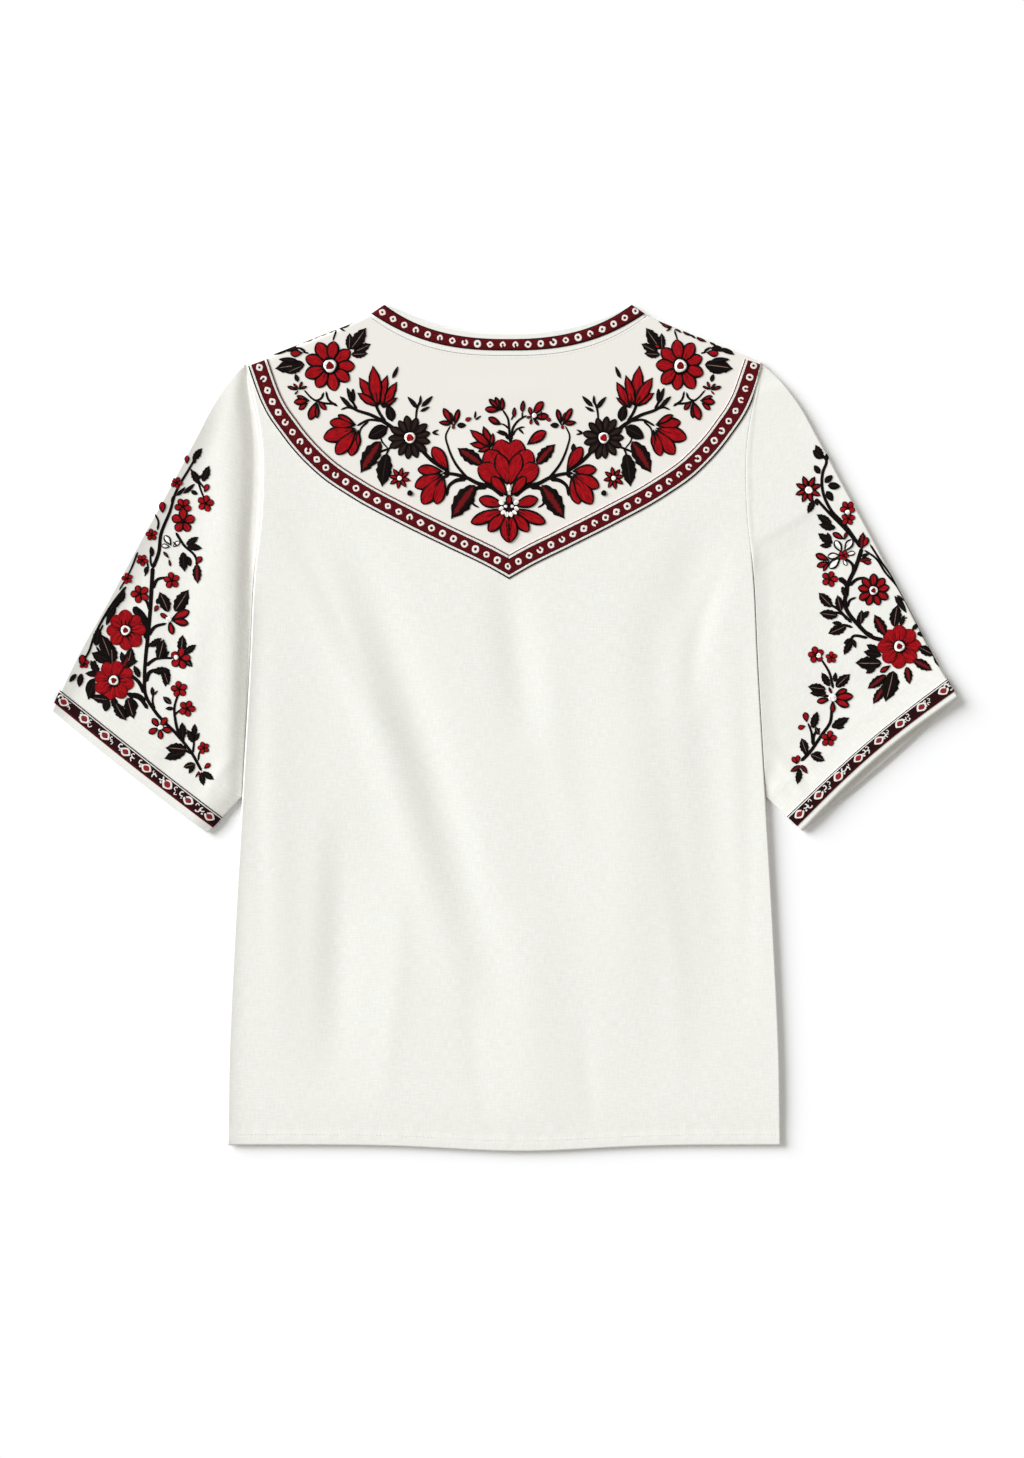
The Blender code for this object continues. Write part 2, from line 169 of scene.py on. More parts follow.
# A sleeve, with the ends of its fold and of its seam at the cuff. bow: how far the cuff curves out.
# overhang: how much further out its lower layer lies. valley: how deep the trough by the armhole is.
# fuller: how far the fold swells out. edge_roll: how far from the seam the cloth takes to rise. lift
# and beside: the seam's height by the armhole and below it. drop: how much lower the whole sleeve
# lies. fold_roll: how far from the fold the cloth takes to rise.
Cuff = namedtuple(
    "Cuff",
    "fold_out fold_height seam_out seam_height bow overhang valley fuller edge_roll"
    " lift beside drop fold_roll",
)
CUFFS = {
    "left": Cuff(
        fold_out=393.0,
        fold_height=15.5,
        seam_out=257.5,
        seam_height=-91.5,
        bow=1.2,
        overhang=0.0,
        valley=0.0,
        fuller=-2.2,
        edge_roll=19.0,
        lift=LEFT_ARMHOLE_SHARE,
        beside=0.0,
        drop=0.0,
        fold_roll=18.0,
    ),
    "right": Cuff(
        fold_out=394.5,
        fold_height=26.0,
        seam_out=259.5,
        seam_height=-90.0,
        bow=-5.5,
        overhang=7.5,
        valley=0.35,
        fuller=2.6,
        edge_roll=18.0,
        lift=RIGHT_ARMHOLE_SHARE,
        beside=0.95,
        drop=0.4,
        fold_roll=60.0,
    ),
}
SLEEVE_LEAVES_BODY_Y = -60.0
FOLD_RADIUS_TOP = 2.6
FOLD_RADIUS = 3.2
FOLD_PRESS = 0.45
SLEEVE_ROLL = 19.0
VALLEY_WIDTH = 8.0
VALLEY_FLOOR = 2.0
SLEEVE_FREE_REACH = 25.0
Valley = namedtuple("Valley", "height away depth")
VALLEY_LINE = (
    Valley(132.0, 4.0, 0.0),
    Valley(165.0, 10.0, 0.6),
    Valley(205.0, 17.0, 1.0),
    Valley(250.0, 17.0, 1.0),
    Valley(300.0, 14.0, 0.0),
)
VALLEY_AWAY = ([v.height for v in VALLEY_LINE], [v.away for v in VALLEY_LINE])
VALLEY_DEPTH = ([v.height for v in VALLEY_LINE], [v.depth for v in VALLEY_LINE])
SEAM_STRIP = 2.0
SEAM_SLACK = 0.3
SEWN_DROP = 0.5
CREASE_START = 4.0
FREE_EDGE_DROP = 0.4
BESIDE_DROP = 0.8
CUFF_MARGIN = 6.5
CUFF_TRIM_WIDTH = 12.5
CUFF_LIFT = 2.1
CUFF_REACH = 60.0
CUFF_TOP = CUFF_MARGIN + CUFF_TRIM_WIDTH
CUFF_EASE = 12.0

# The ribbon round the yoke: half of its middle line, from the point at the centre to the shoulder.
YOKE_LINE = (
    Edge(0.0, 139.5),
    Edge(12.0, 146.3),
    Edge(50.0, 165.0),
    Edge(92.0, 186.0),
    Edge(131.0, 207.5),
    Edge(161.0, 229.0),
    Edge(187.0, 258.0),
    Edge(205.5, 288.0),
    Edge(215.8, 317.0),
)
YOKE_X = 2.0
YOKE_POINT_SHIFT = 2.5
YOKE_TRIM_WIDTH = 19.0
YOKE_END_GAP = 1.0

# The solids' folds, and the smaller creases that only the shells have.
Fold = namedtuple("Fold", "from_x from_y to_x to_y bow width height")
BACK_FOLDS = (
    Fold(-205.0, 250.0, -20.0, -190.0, -22.0, 34.0, -2.2),
    Fold(-150.0, 190.0, 60.0, -240.0, 26.0, 40.0, 1.5),
    Fold(-205.0, 130.0, -190.0, -300.0, 8.0, 26.0, 1.2),
    Fold(-120.0, -60.0, -150.0, -340.0, 6.0, 30.0, -1.4),
    Fold(0.0, 150.0, 22.0, -20.0, 0.0, 17.0, -1.5),
    Fold(190.0, 190.0, 130.0, 0.0, 12.0, 26.0, -1.6),
    Fold(150.0, 80.0, 205.0, -280.0, 14.0, 30.0, -1.5),
    Fold(110.0, 120.0, 90.0, -330.0, -12.0, 40.0, 1.4),
    Fold(20.0, -150.0, 30.0, -366.0, 0.0, 30.0, 1.2),
    Fold(-60.0, 250.0, 70.0, 240.0, 10.0, 22.0, 0.9),
)
BACK_CREASES = (
    Fold(-166.0, 175.0, -28.0, -262.0, -2.0, 17.0, 1.9),
    Fold(-136.0, 185.0, 2.0, -250.0, -2.0, 17.0, -1.9),
    Fold(140.0, 170.0, 178.0, -240.0, 4.0, 15.0, 0.9),
    Fold(166.0, 175.0, 206.0, -240.0, 4.0, 15.0, -0.5),
    Fold(-162.0, -60.0, -166.0, -300.0, 0.0, 11.0, 0.6),
    Fold(-142.0, -60.0, -144.0, -300.0, 0.0, 11.0, -0.6),
    Fold(-196.0, 190.0, -120.0, 20.0, -8.0, 9.0, -0.7),
    Fold(-180.0, 150.0, -60.0, -60.0, 14.0, 12.0, 0.6),
    Fold(-214.0, 120.0, -206.0, -250.0, 3.0, 8.0, -0.5),
    Fold(-90.0, -120.0, -110.0, -340.0, -6.0, 11.0, 0.5),
    Fold(-30.0, -200.0, -10.0, -360.0, 5.0, 9.0, -0.4),
    Fold(40.0, 90.0, 75.0, -150.0, 10.0, 13.0, 0.5),
    Fold(196.0, 150.0, 160.0, 10.0, 8.0, 9.0, -0.8),
    Fold(205.0, 100.0, 212.0, -260.0, -4.0, 8.0, -0.5),
    Fold(130.0, -60.0, 150.0, -330.0, -8.0, 12.0, 0.5),
    Fold(70.0, -240.0, 80.0, -362.0, 3.0, 8.0, -0.4),
    Fold(-50.0, 300.0, 50.0, 298.0, 8.0, 9.0, 0.3),
    Fold(150.0, 320.0, 120.0, 240.0, 6.0, 12.0, 0.4),
    Fold(-150.0, 320.0, -125.0, 250.0, -6.0, 12.0, 0.4),
)
# Creases of a sleeve, given for the right one; out is x there and -x on the left one.
SLEEVE_CREASES = {
    "left": (
        Fold(216.0, 380.0, 218.0, -125.0, 0.0, 12.0, -2.4),
        Fold(237.0, 380.0, 239.0, -125.0, 0.0, 13.0, 1.3),
        Fold(249.0, 350.0, 251.0, -110.0, 2.0, 13.0, 0.4),
        Fold(250.0, 200.0, 285.0, -30.0, 4.0, 14.0, 0.9),
        Fold(232.0, -20.0, 262.0, -70.0, -3.0, 5.0, 0.7),
        Fold(300.0, 140.0, 330.0, 20.0, 5.0, 16.0, 0.5),
        Fold(272.0, 30.0, 300.0, -50.0, 4.0, 9.0, -0.6),
    ),
    "right": (
        Fold(272.0, 240.0, 280.0, -90.0, 0.0, 26.0, -0.4),
        Fold(228.0, -20.0, 264.0, -66.0, -4.0, 4.0, 0.8),
        Fold(236.0, -15.0, 270.0, -52.0, -3.0, 4.0, -0.7),
        Fold(290.0, 180.0, 320.0, 40.0, 6.0, 18.0, 0.5),
    ),
}

# The shells. An edge that is sewn to the layer below curls down to meet it.
SHELL = 0.8
# Thread under a sleeve is pressed flat: its inner side stops this far above the floor.
FLOOR_CLEAR = 0.02
CREASE_SHARE = 0.8
LEFT_SIDE_ROLL = 0.8
RIGHT_SIDE_ROLL = 0.8
LEFT_ARMHOLE_ROLL = 0.4
CURL_DEPTH = 0.6
CURL_REACH = 0.9
# Pressed edges stand up a little and lean inwards: the side seams, and the left sleeve's fold.
LEFT_LIP = 1.35
RIGHT_LIP = 0.12
LIP_REACH = 5.5
LIP_FADE = 30.0
SHOULDER_EASE = 25.0
FOLD_LIP = {"left": 2.2, "right": 0.0}
SEAM_GROOVE = 0.15
SEAM_GROOVE_REACH = 1.2
SEAM_TOUCH = 0.03
FREE_EDGE_GAP = 0.12
GRID = 3.4
EDGE_STEPS = (0.0, 0.5, 1.1, 1.9, 2.8, 4.5)
FOLD_ARC_STEPS = 10
FRONT_GRID = 7.0

# Colours, and the ribbons' bands of colour: each band ends at this place across the ribbon.
LINEN = "#F2F2ED"
LINEN_DARK = "#E8E6DF"
LINEN_WARM = "#ECEAE3"
YOKE_GROUND = "#EBE7E0"
THREAD_RED = "#950D15"
THREAD_BLACK = "#100A09"
THREAD_WHITE = "#EFEBE6"
RIBBON_RED = "#5E0C12"
RIBBON_DARK = "#1C070A"
RIBBON_BROWN = "#2A0C10"
Band = namedtuple("Band", "to colour")
YOKE_BANDS = (
    Band(-9.2, THREAD_WHITE),
    Band(-7.9, RIBBON_DARK),
    Band(-6.1, THREAD_WHITE),
    Band(-5.4, RIBBON_DARK),
    Band(5.4, RIBBON_RED),
    Band(6.1, RIBBON_DARK),
    Band(8.0, THREAD_WHITE),
    Band(9.0, RIBBON_RED),
    Band(9.5, THREAD_WHITE),
)
NECK_BANDS = (
    Band(-4.2, RIBBON_DARK),
    Band(4.2, RIBBON_RED),
    Band(5.0, RIBBON_DARK),
)
CUFF_BANDS = (
    Band(-5.6, RIBBON_RED),
    Band(-5.2, RIBBON_BROWN),
    Band(-4.6, RIBBON_RED),
    Band(4.1, RIBBON_BROWN),
    Band(5.0, THREAD_WHITE),
    Band(5.9, RIBBON_DARK),
    Band(6.25, THREAD_WHITE),
)
RIBBON_THICK = 0.4
RIBBON_LIFT = 0.06

# The ribbons' woven rings: rounded squares and lozenges, some open. power: 1 is a lozenge, 2 round,
# 4 square. sweep: how much of the way round it goes, in degrees. hole: the hole's share.
Ring = namedtuple("Ring", "power squash start sweep hole")
RINGS = (
    Ring(1.5, 1.0, 0, 360, 0.45),
    Ring(2.4, 0.94, 20, 360, 0.40),
    Ring(1.3, 1.06, 0, 360, 0.36),
    Ring(1.8, 1.0, 150, 300, 0.42),
    Ring(1.5, 0.9, -40, 290, 0.40),
)
CUFF_RINGS = (
    Ring(1.25, 1.25, 0, 360, 0.62),
    Ring(1.6, 1.15, 12, 360, 0.60),
    Ring(1.3, 1.3, 30, 340, 0.60),
)
SPECKS = (
    Ring(2.0, 1.0, 0, 360, 0.05),
    Ring(1.2, 1.5, 0, 360, 0.05),
)
SPRIG_HOOKS = (
    Ring(1.4, 1.3, -100, 200, 0.55),
    Ring(1.8, 0.9, 60, 230, 0.50),
    Ring(1.5, 1.1, 170, 240, 0.55),
)
# Runs of motifs along the ribbons: how far apart, how big, how far across, and how much they turn.
Run = namedtuple("Run", "rings pitch half across turn jitter start seed white")
YOKE_RUNS = (
    Run(RINGS, 10.45, 3.15, 0.0, 16, 0.08, 4.6, 3, True),
    Run(SPECKS, 10.45, 0.45, 1.6, 90, 0.35, 9.6, 4, False),
    Run(SPECKS, 10.45, 0.5, -1.5, 90, 0.35, 10.1, 5, False),
)
NECK_RUNS = (
    Run(RINGS, 10.8, 3.05, 0.0, 12, 0.08, 5.0, 6, True),
    Run(SPECKS, 10.8, 0.4, 0.9, 90, 0.35, 10.4, 7, False),
)
CUFF_RUNS = (
    Run(CUFF_RINGS, 22.3, 4.2, -0.3, 10, 0.06, 9.0, 8, True),
    Run(SPECKS, 22.3, 2.6, -0.3, 40, 0.2, 9.0, 9, False),
    Run(SPRIG_HOOKS, 22.3, 2.2, 1.0, 80, 0.2, 17.4, 10, True),
    Run(SPRIG_HOOKS, 22.3, 2.1, -1.8, 80, 0.25, 20.4, 12, True),
    Run(SPRIG_HOOKS, 22.3, 1.5, 1.4, 80, 0.25, 23.2, 14, True),
    Run(SPECKS, 22.3, 0.8, -2.2, 80, 0.3, 15.4, 13, True),
)
MOTIF_RISE = 0.22
MOTIF_BASE = 0.02
MOTIF_PLY = 0.01
# The sewing: stitches along the hem, under the neck band's seam and round the cuffs.
STITCHES = (
    Ring(2.6, 3.3, 0, 360, 0.05),
    Ring(2.4, 3.0, 2, 360, 0.05),
)
STITCH_RUNS = (Run(STITCHES, 3.1, 0.32, 0.0, 4, 0.1, 6.0, 31, True),)
STITCH_RISE = 0.18
HEM_STITCH_Y = HEM_DEPTH - 0.9
NECK_STITCH_Y = -1.6
CUFF_STITCH = 2.4
PUCKER = 0.16
PUCKER_REACH = 5.0
Wave = namedtuple("Wave", "height pitch shift")
PUCKER_WAVES = (Wave(0.5, 1.9, 0), Wave(0.35, 3.1, 1), Wave(0.3, 7.3, 2))
RUN_END = 3.0
CUFF_STITCH_END = 6.0

# Satin-stitch shapes. wide: width over length. end: how much of a sine's half wave the width uses, so
# that 1 closes the tip. swell: above 1, the widest place moves to the tip. blunt: how far the tip's
# sides fall back. teeth: how many are cut into the sides, each as deep as bite.
Shape = namedtuple("Shape", "wide end swell power blunt teeth bite bend rows columns")
SHAPES = {
    "petal": Shape(0.46, 0.99, 1.45, 0.62, 0.0, 0, 0.0, 0.0, 11, 9),
    "flame": Shape(0.40, 0.97, 0.95, 0.8, 0.05, 3, 0.14, 0.0, 10, 7),
    "lobe": Shape(0.74, 0.99, 1.30, 0.55, 0.0, 0, 0.0, 0.0, 12, 11),
    "leaf": Shape(0.50, 0.99, 0.85, 0.75, 0.05, 4, 0.26, 0.06, 14, 7),
    "oval": Shape(0.52, 0.99, 0.90, 0.65, 0.0, 0, 0.0, 0.05, 9, 7),
    "blade": Shape(0.24, 0.99, 0.80, 0.7, 0.0, 0, 0.0, 0.10, 7, 5),
}
# Thread colours. A vein runs from the base or along the midrib, and reaches this share of the shape.
Hue = namedtuple("Hue", "fill vein reach midrib outline")
HUES = {
    "red": Hue(THREAD_RED, THREAD_BLACK, 0.42, False, 1.0),
    "red_soft": Hue(THREAD_RED, THREAD_BLACK, 0.5, False, 0.4),
    "dark_red": Hue("#6E1015", THREAD_BLACK, 0.25, False, 1.0),
    "black": Hue(THREAD_BLACK, "#332521", 0.05, True, 0.0),
    "black_petal": Hue("#2A1D19", "#52423B", 0.20, False, 1.0),
    "black_red": Hue(THREAD_BLACK, "#6E1418", 0.30, True, 0.0),
    "black_pale": Hue(THREAD_BLACK, "#8C6E62", 0.05, True, 0.0),
    "white": Hue(THREAD_WHITE, THREAD_RED, 0.20, False, 1.0),
    "plain_white": Hue(THREAD_WHITE, THREAD_WHITE, 0.0, False, 0.0),
}
Part = namedtuple("Part", "shape hue turn size wide")
SPRIGS = {
    "petal_wide": (Part("petal", "red", 0, 1.0, 1.02),),
    "petal_slim": (Part("petal", "red", 0, 1.0, 0.76),),
    "white_petal": (Part("petal", "white", 0, 1.0, 1.25),),
    "lobe_side": (Part("lobe", "red", 0, 1.0, 0.9),),
    "lobe_top": (Part("lobe", "red", 0, 1.0, 0.78),),
    "bud": (Part("petal", "red", 0, 1.0, 1.35),),
    "bud_black": (Part("oval", "black", 0, 1.0, 1.1),),
    "oval": (Part("oval", "black", 0, 1.08, 1.15),),
    "oval_red": (Part("oval", "dark_red", 0, 1.0, 0.85),),
    "leaf": (Part("leaf", "black", 0, 1.15, 1.05),),
    "leaf_wide": (Part("leaf", "black_pale", 0, 1.12, 1.2),),
    "leaf_pale": (Part("leaf", "black_pale", 0, 1.04, 1.1),),
    "leaf_red": (Part("leaf", "black_red", 0, 1.0, 1.05),),
    "blade": (Part("blade", "black", 0, 1.05, 1.25),),
    "oak": (
        Part("flame", "red", 58, 0.52, 1.1),
        Part("flame", "red", -58, 0.52, 1.1),
        Part("flame", "red", 30, 0.82, 1.0),
        Part("flame", "red", -30, 0.80, 1.0),
        Part("flame", "red", 0, 1.0, 0.95),
    ),
    "oak_left": (
        Part("flame", "red", -50, 0.60, 1.0),
        Part("flame", "red", -26, 0.84, 1.0),
        Part("flame", "red", 24, 0.80, 0.85),
        Part("flame", "red", 0, 1.0, 0.95),
    ),
    "oak_right": (
        Part("flame", "red", -28, 0.80, 0.8),
        Part("flame", "red", 26, 0.62, 0.8),
        Part("flame", "red", 0, 1.0, 0.95),
    ),
}
# Whole flowers: petals round a centre, then discs on it, each a share of the flower's radius.
Flower = namedtuple("Flower", "count shape hue wide inner discs")
Disc = namedtuple("Disc", "share hue")
FLOWERS = {
    "rosette": Flower(
        9, "petal", "red", 1.28, 0.10,
        (Disc(0.34, "black"), Disc(0.25, "plain_white"), Disc(0.16, "dark_red")),
    ),
    "rosette_wide": Flower(
        8, "lobe", "red_soft", 1.05, 0.10,
        (Disc(0.31, "black"), Disc(0.24, "plain_white"), Disc(0.15, "dark_red")),
    ),
    "daisy": Flower(
        13, "petal", "black_petal", 0.95, 0.14, (Disc(0.25, "plain_white"), Disc(0.17, "red"))
    ),
    "star": Flower(8, "flame", "red", 1.25, 0.08, (Disc(0.20, "plain_white"),)),
    "star_five": Flower(5, "petal", "red", 1.25, 0.05, (Disc(0.16, "plain_white"),)),
    "bloom": Flower(5, "petal", "red", 1.7, 0.02, (Disc(0.13, "black"),)),
    "dot": Flower(0, "petal", "black", 1.0, 0.0, (Disc(1.0, "black"),)),
    "dot_white": Flower(0, "petal", "red", 1.0, 0.0, (Disc(1.0, "plain_white"),)),
}
# The dark outline is a share of a shape's length, between these widths.
OUTLINE_SHARE = 0.145
OUTLINE_LEAST = 0.55
OUTLINE = 1.95
DISC_OUTLINE = 0.35
# A distance from an edge or a vein that is too far for either to show.
FAR = 9.0
STITCH_THICK = 0.2
STEM_LIFT = 0.08
LEAF_LIFT = 0.18
PETAL_LIFT = 0.26
DISC_LIFT = 0.95
PLY = 0.1
DISC_PLY = 0.1
HEART_PLY = 0.03
PANSY_PLIES = 0.6
SPRIG_PLIES = 0.5
STEM_PLIES = 0.3
DOME = 0.1
STEM_STEP = 2.0
STEM_TAPER = 1.2
TIP_CROWDING = 1.7
YOKE_STEM_FULLNESS = 1.35
SLEEVE_STEM_FULLNESS = 1.5
EMBROIDERY_X = 4.4
RIGHT_HALF_SCALE = 0.957

Motif = namedtuple("Motif", "kind out up size turn")
Stem = namedtuple("Stem", "from_width to_width points")


def in_order(*groups):
    """Motifs in the order that they are sewn, from groups of one kind: out, up, size and turn of each."""
    return tuple(Motif(kind, *row) for kind, *rows in groups for row in rows)


YOKE_MOTIFS = in_order(
    ("rosette", (155.5, 314, 22.5, 20)),
    ("blade", (150, 345.5, 4.5, -7), (148, 347.5, 9, 174), (147, 347, 5, -143), (148, 348, 4, 145)),
    ("leaf_pale", (139, 328, 14, 96), (137.5, 328.5, 22, 129), (135, 326, 16, 158),
     (137, 324, 14, 180)),
    ("bud", (137.5, 329.5, 5.5, 153), (179, 325.5, 11, -4)),
    ("blade", (176.5, 326, 7.5, 39), (182, 329.5, 14.5, -3), (191, 329, 13.5, -15)),
    ("leaf_pale", (177.5, 315, 25, -4)),
    ("blade", (182.5, 317.5, 16.5, 13)),
    ("leaf_pale", (179, 314, 15, -20)),
    ("bud_black", (183.5, 300, 7, 77)),
    ("petal_slim", (182.5, 293.5, 7, 47), (183, 293, 10, 18), (182.5, 293.5, 7.5, 112),
     (182.5, 293.5, 7.5, 158), (183, 292.5, 4.5, -45)),
    ("petal_wide", (173, 284, 14, -7)),
    ("petal_slim", (174, 284.5, 11, 18)),
    ("petal_wide", (174.5, 282, 10, -36), (167, 283.5, 17.5, -70), (166, 283.5, 10.5, -134)),
    ("petal_slim", (166.5, 282.5, 14, -89)),
    ("oak_left", (114, 279, 35.5, 83)),
    ("oak_right", (110, 277.5, 26, 119)),
    ("blade", (101.5, 303, 11, 121)),
    ("oval", (101.5, 265.5, 13.5, 80)),
    ("blade", (79.5, 276.5, 13, 57), (77.5, 280, 8, 100), (76.5, 278.5, 13, 143),
     (77.5, 274.5, 9, 160)),
    ("daisy", (86, 251.5, 19, 0)),
    ("petal_slim", (132.5, 262.5, 18.5, 29)),
    ("petal_wide", (133.5, 262, 22.5, 8), (133, 260, 29.5, -18), (132.5, 259, 28, -51),
     (131.5, 258, 23, -75)),
    ("petal_slim", (131, 259, 16, -90)),
    ("oval", (105, 261, 18, -26)),
    ("leaf_red", (111.5, 248.5, 32.5, -54)),
    ("leaf", (106, 238, 25.5, -78)),
    ("blade", (136, 281, 14, 77), (136, 281, 12.5, 99), (137.5, 277.5, 13, 53)),
    ("star", (95, 216.5, 10, 12)),
    ("dot", (86, 203.5, 2.5, 0)),
    ("petal_wide", (57, 222.5, 22.5, 4), (57.5, 220.5, 27, -26), (57.5, 219.5, 31, -55),
     (56.5, 219, 26, -75), (52, 222.5, 25.5, 56)),
    ("petal_slim", (48.5, 262, 17.5, 61), (47.5, 262, 15, 105)),
    ("oval_red", (50, 263.5, 11, 11)),
    ("oval", (45.5, 262.5, 7.5, -177)),
    ("petal_slim", (48, 265.5, 9, 67)),
    ("bud", (48, 263.5, 4.5, -81), (32.5, 269, 6, -24)),
    ("blade", (30, 268, 6.5, 103), (29.5, 267, 6, 149), (67, 256, 6, 161), (67, 256, 6, -159)),
    ("leaf_red", (29.5, 210.5, 36, -51)),
    ("blade", (203.5, 325, 8, 151), (193.5, 329.5, 8, 170)),
    ("petal_slim", (188, 331.5, 6.5, 152), (179, 335, 9.5, 158)),
    ("blade", (169.5, 338, 6, 152)),
    ("petal_slim", (165.5, 340, 8.5, 153)),
    ("blade", (156.5, 343, 6, 153)),
    ("petal_slim", (147, 346.5, 9.5, 152)),
    ("blade", (141.5, 349.5, 7, 151)),
)
YOKE_LEFT_ONLY = in_order(
    ("oak", (15.5, 243.5, 24, 39)),
    ("leaf_red", (23.5, 228, 26, 38)),
    ("petal_slim", (6.5, 275, 15, 43), (7, 275, 13, 68)),
    ("petal_wide", (7.5, 275.5, 13.5, 4), (6.5, 263, 13, 28)),
    ("petal_slim", (6.5, 263, 9.5, 13)),
    ("oval_red", (6, 275, 11.5, 92)),
    ("blade", (1.5, 253.5, 9.5, 24)),
)
YOKE_RIGHT_ONLY = in_order(
    ("petal_wide", (16, 245.5, 21, 34)),
    ("petal_slim", (16, 245.5, 18, 43)),
    ("leaf_red", (25, 228.5, 24.5, 50)),
    ("oval", (58.5, 239, 7, 93)),
    ("oval_red", (4.5, 269, 9, 90), (12, 273.5, 10.5, 88)),
    ("petal_wide", (21, 270.5, 16, 52), (21.5, 269, 14.5, 7), (21, 270, 5.5, -169)),
    ("petal_slim", (21.5, 269.5, 9, -53)),
    ("petal_wide", (20.5, 269, 6, -100), (20, 270, 8.5, 100)),
    ("dot_white", (23, 271, 2, 0)),
    ("blade", (8, 260, 7, -39), (9.5, 260.5, 4.5, 10)),
)
PANSY = in_order(
    ("lobe_top", (-1, 210, 41, 77)),
    ("lobe_side", (1.5, 213.5, 32.5, 56), (1.5, 212.5, 29, 30)),
    ("petal_wide", (0, 209, 30.5, 72), (1, 200.5, 22.5, 51), (3.5, 192.5, 23.5, 15)),
    ("petal_slim", (2.5, 190, 33, -22)),
    ("petal_wide", (1.5, 188.5, 24.5, -48)),
)
YOKE_STEMS = (
    Stem(1.3, 1.6, ((159, 292), (157, 285), (149, 279))),
    Stem(1.6, 1.2, ((161, 291), (163, 286), (167, 284), (170, 284))),
    Stem(1.5, 2.8, ((145, 287), (135, 277), (119, 271), (105, 263), (96, 256))),
    Stem(1.2, 1.8, ((136, 294), (136, 284), (132, 276))),
    Stem(1.1, 1.6, ((146, 276), (140, 278), (133, 276))),
    Stem(2.0, 1.8, ((117, 284), (113, 274), (107, 265))),
    Stem(1.0, 1.5, ((178, 293), (170, 285), (162, 282), (150, 281))),
    Stem(0.9, 1.2, ((179, 326), (174, 325))),
    Stem(1.0, 1.2, ((153, 336), (150, 345))),
    Stem(1.2, 1.0, ((140, 324), (143, 322))),
    Stem(1.4, 1.6, ((132, 262), (122, 267), (110, 266))),
    Stem(1.4, 0.8, ((122, 266), (129, 259), (129, 247))),
    Stem(1.2, 1.6, ((81, 267), (80, 276), (77, 284))),
    Stem(1.6, 1.2, ((95, 246), (105, 242), (112, 239), (119, 231))),
    Stem(1.4, 0.8, ((104, 243), (107, 234), (103, 226))),
    Stem(1.2, 0.8, ((110, 260), (111, 250), (105, 242))),
    Stem(2.6, 2.2, ((77, 242), (66, 231), (52, 222))),
    Stem(2.0, 3.0, ((58, 221), (48, 220), (37, 217), (27, 212), (16, 209), (5, 201))),
    Stem(2.0, 0.9, ((36, 216), (47, 230), (53, 244), (55, 253), (51, 262))),
    Stem(3.2, 1.0, ((19, 209), (29, 207), (32, 201), (31, 194), (26, 191))),
    Stem(1.6, 1.2, ((15, 209), (22, 215), (27, 224))),
    Stem(1.4, 1.0, ((16, 212), (18, 216))),
    Stem(3.0, 1.6, ((37, 216), (47, 214), (52, 210), (54, 201))),
    Stem(1.6, 2.2, ((59, 214), (57, 217), (52, 219))),
)
SPRAY_STEMS = (
    Stem(1.8, 1.2, ((1, 247), (0, 260), (-1, 268), (-6, 276))),
    Stem(1.4, 1.0, ((0, 259), (-3, 262), (-7, 264))),
    Stem(1.8, 1.2, ((2, 249), (4, 261), (9, 267), (16, 271))),
    Stem(1.2, 1.0, ((2, 267), (3, 269), (4, 271))),
    Stem(1.4, 1.0, ((3, 253), (7, 259), (13, 261))),
    Stem(1.2, 1.0, ((12, 269), (12, 272), (12, 274))),
    Stem(2.6, 1.2, ((-1, 250), (-3, 255), (-10, 258))),
)
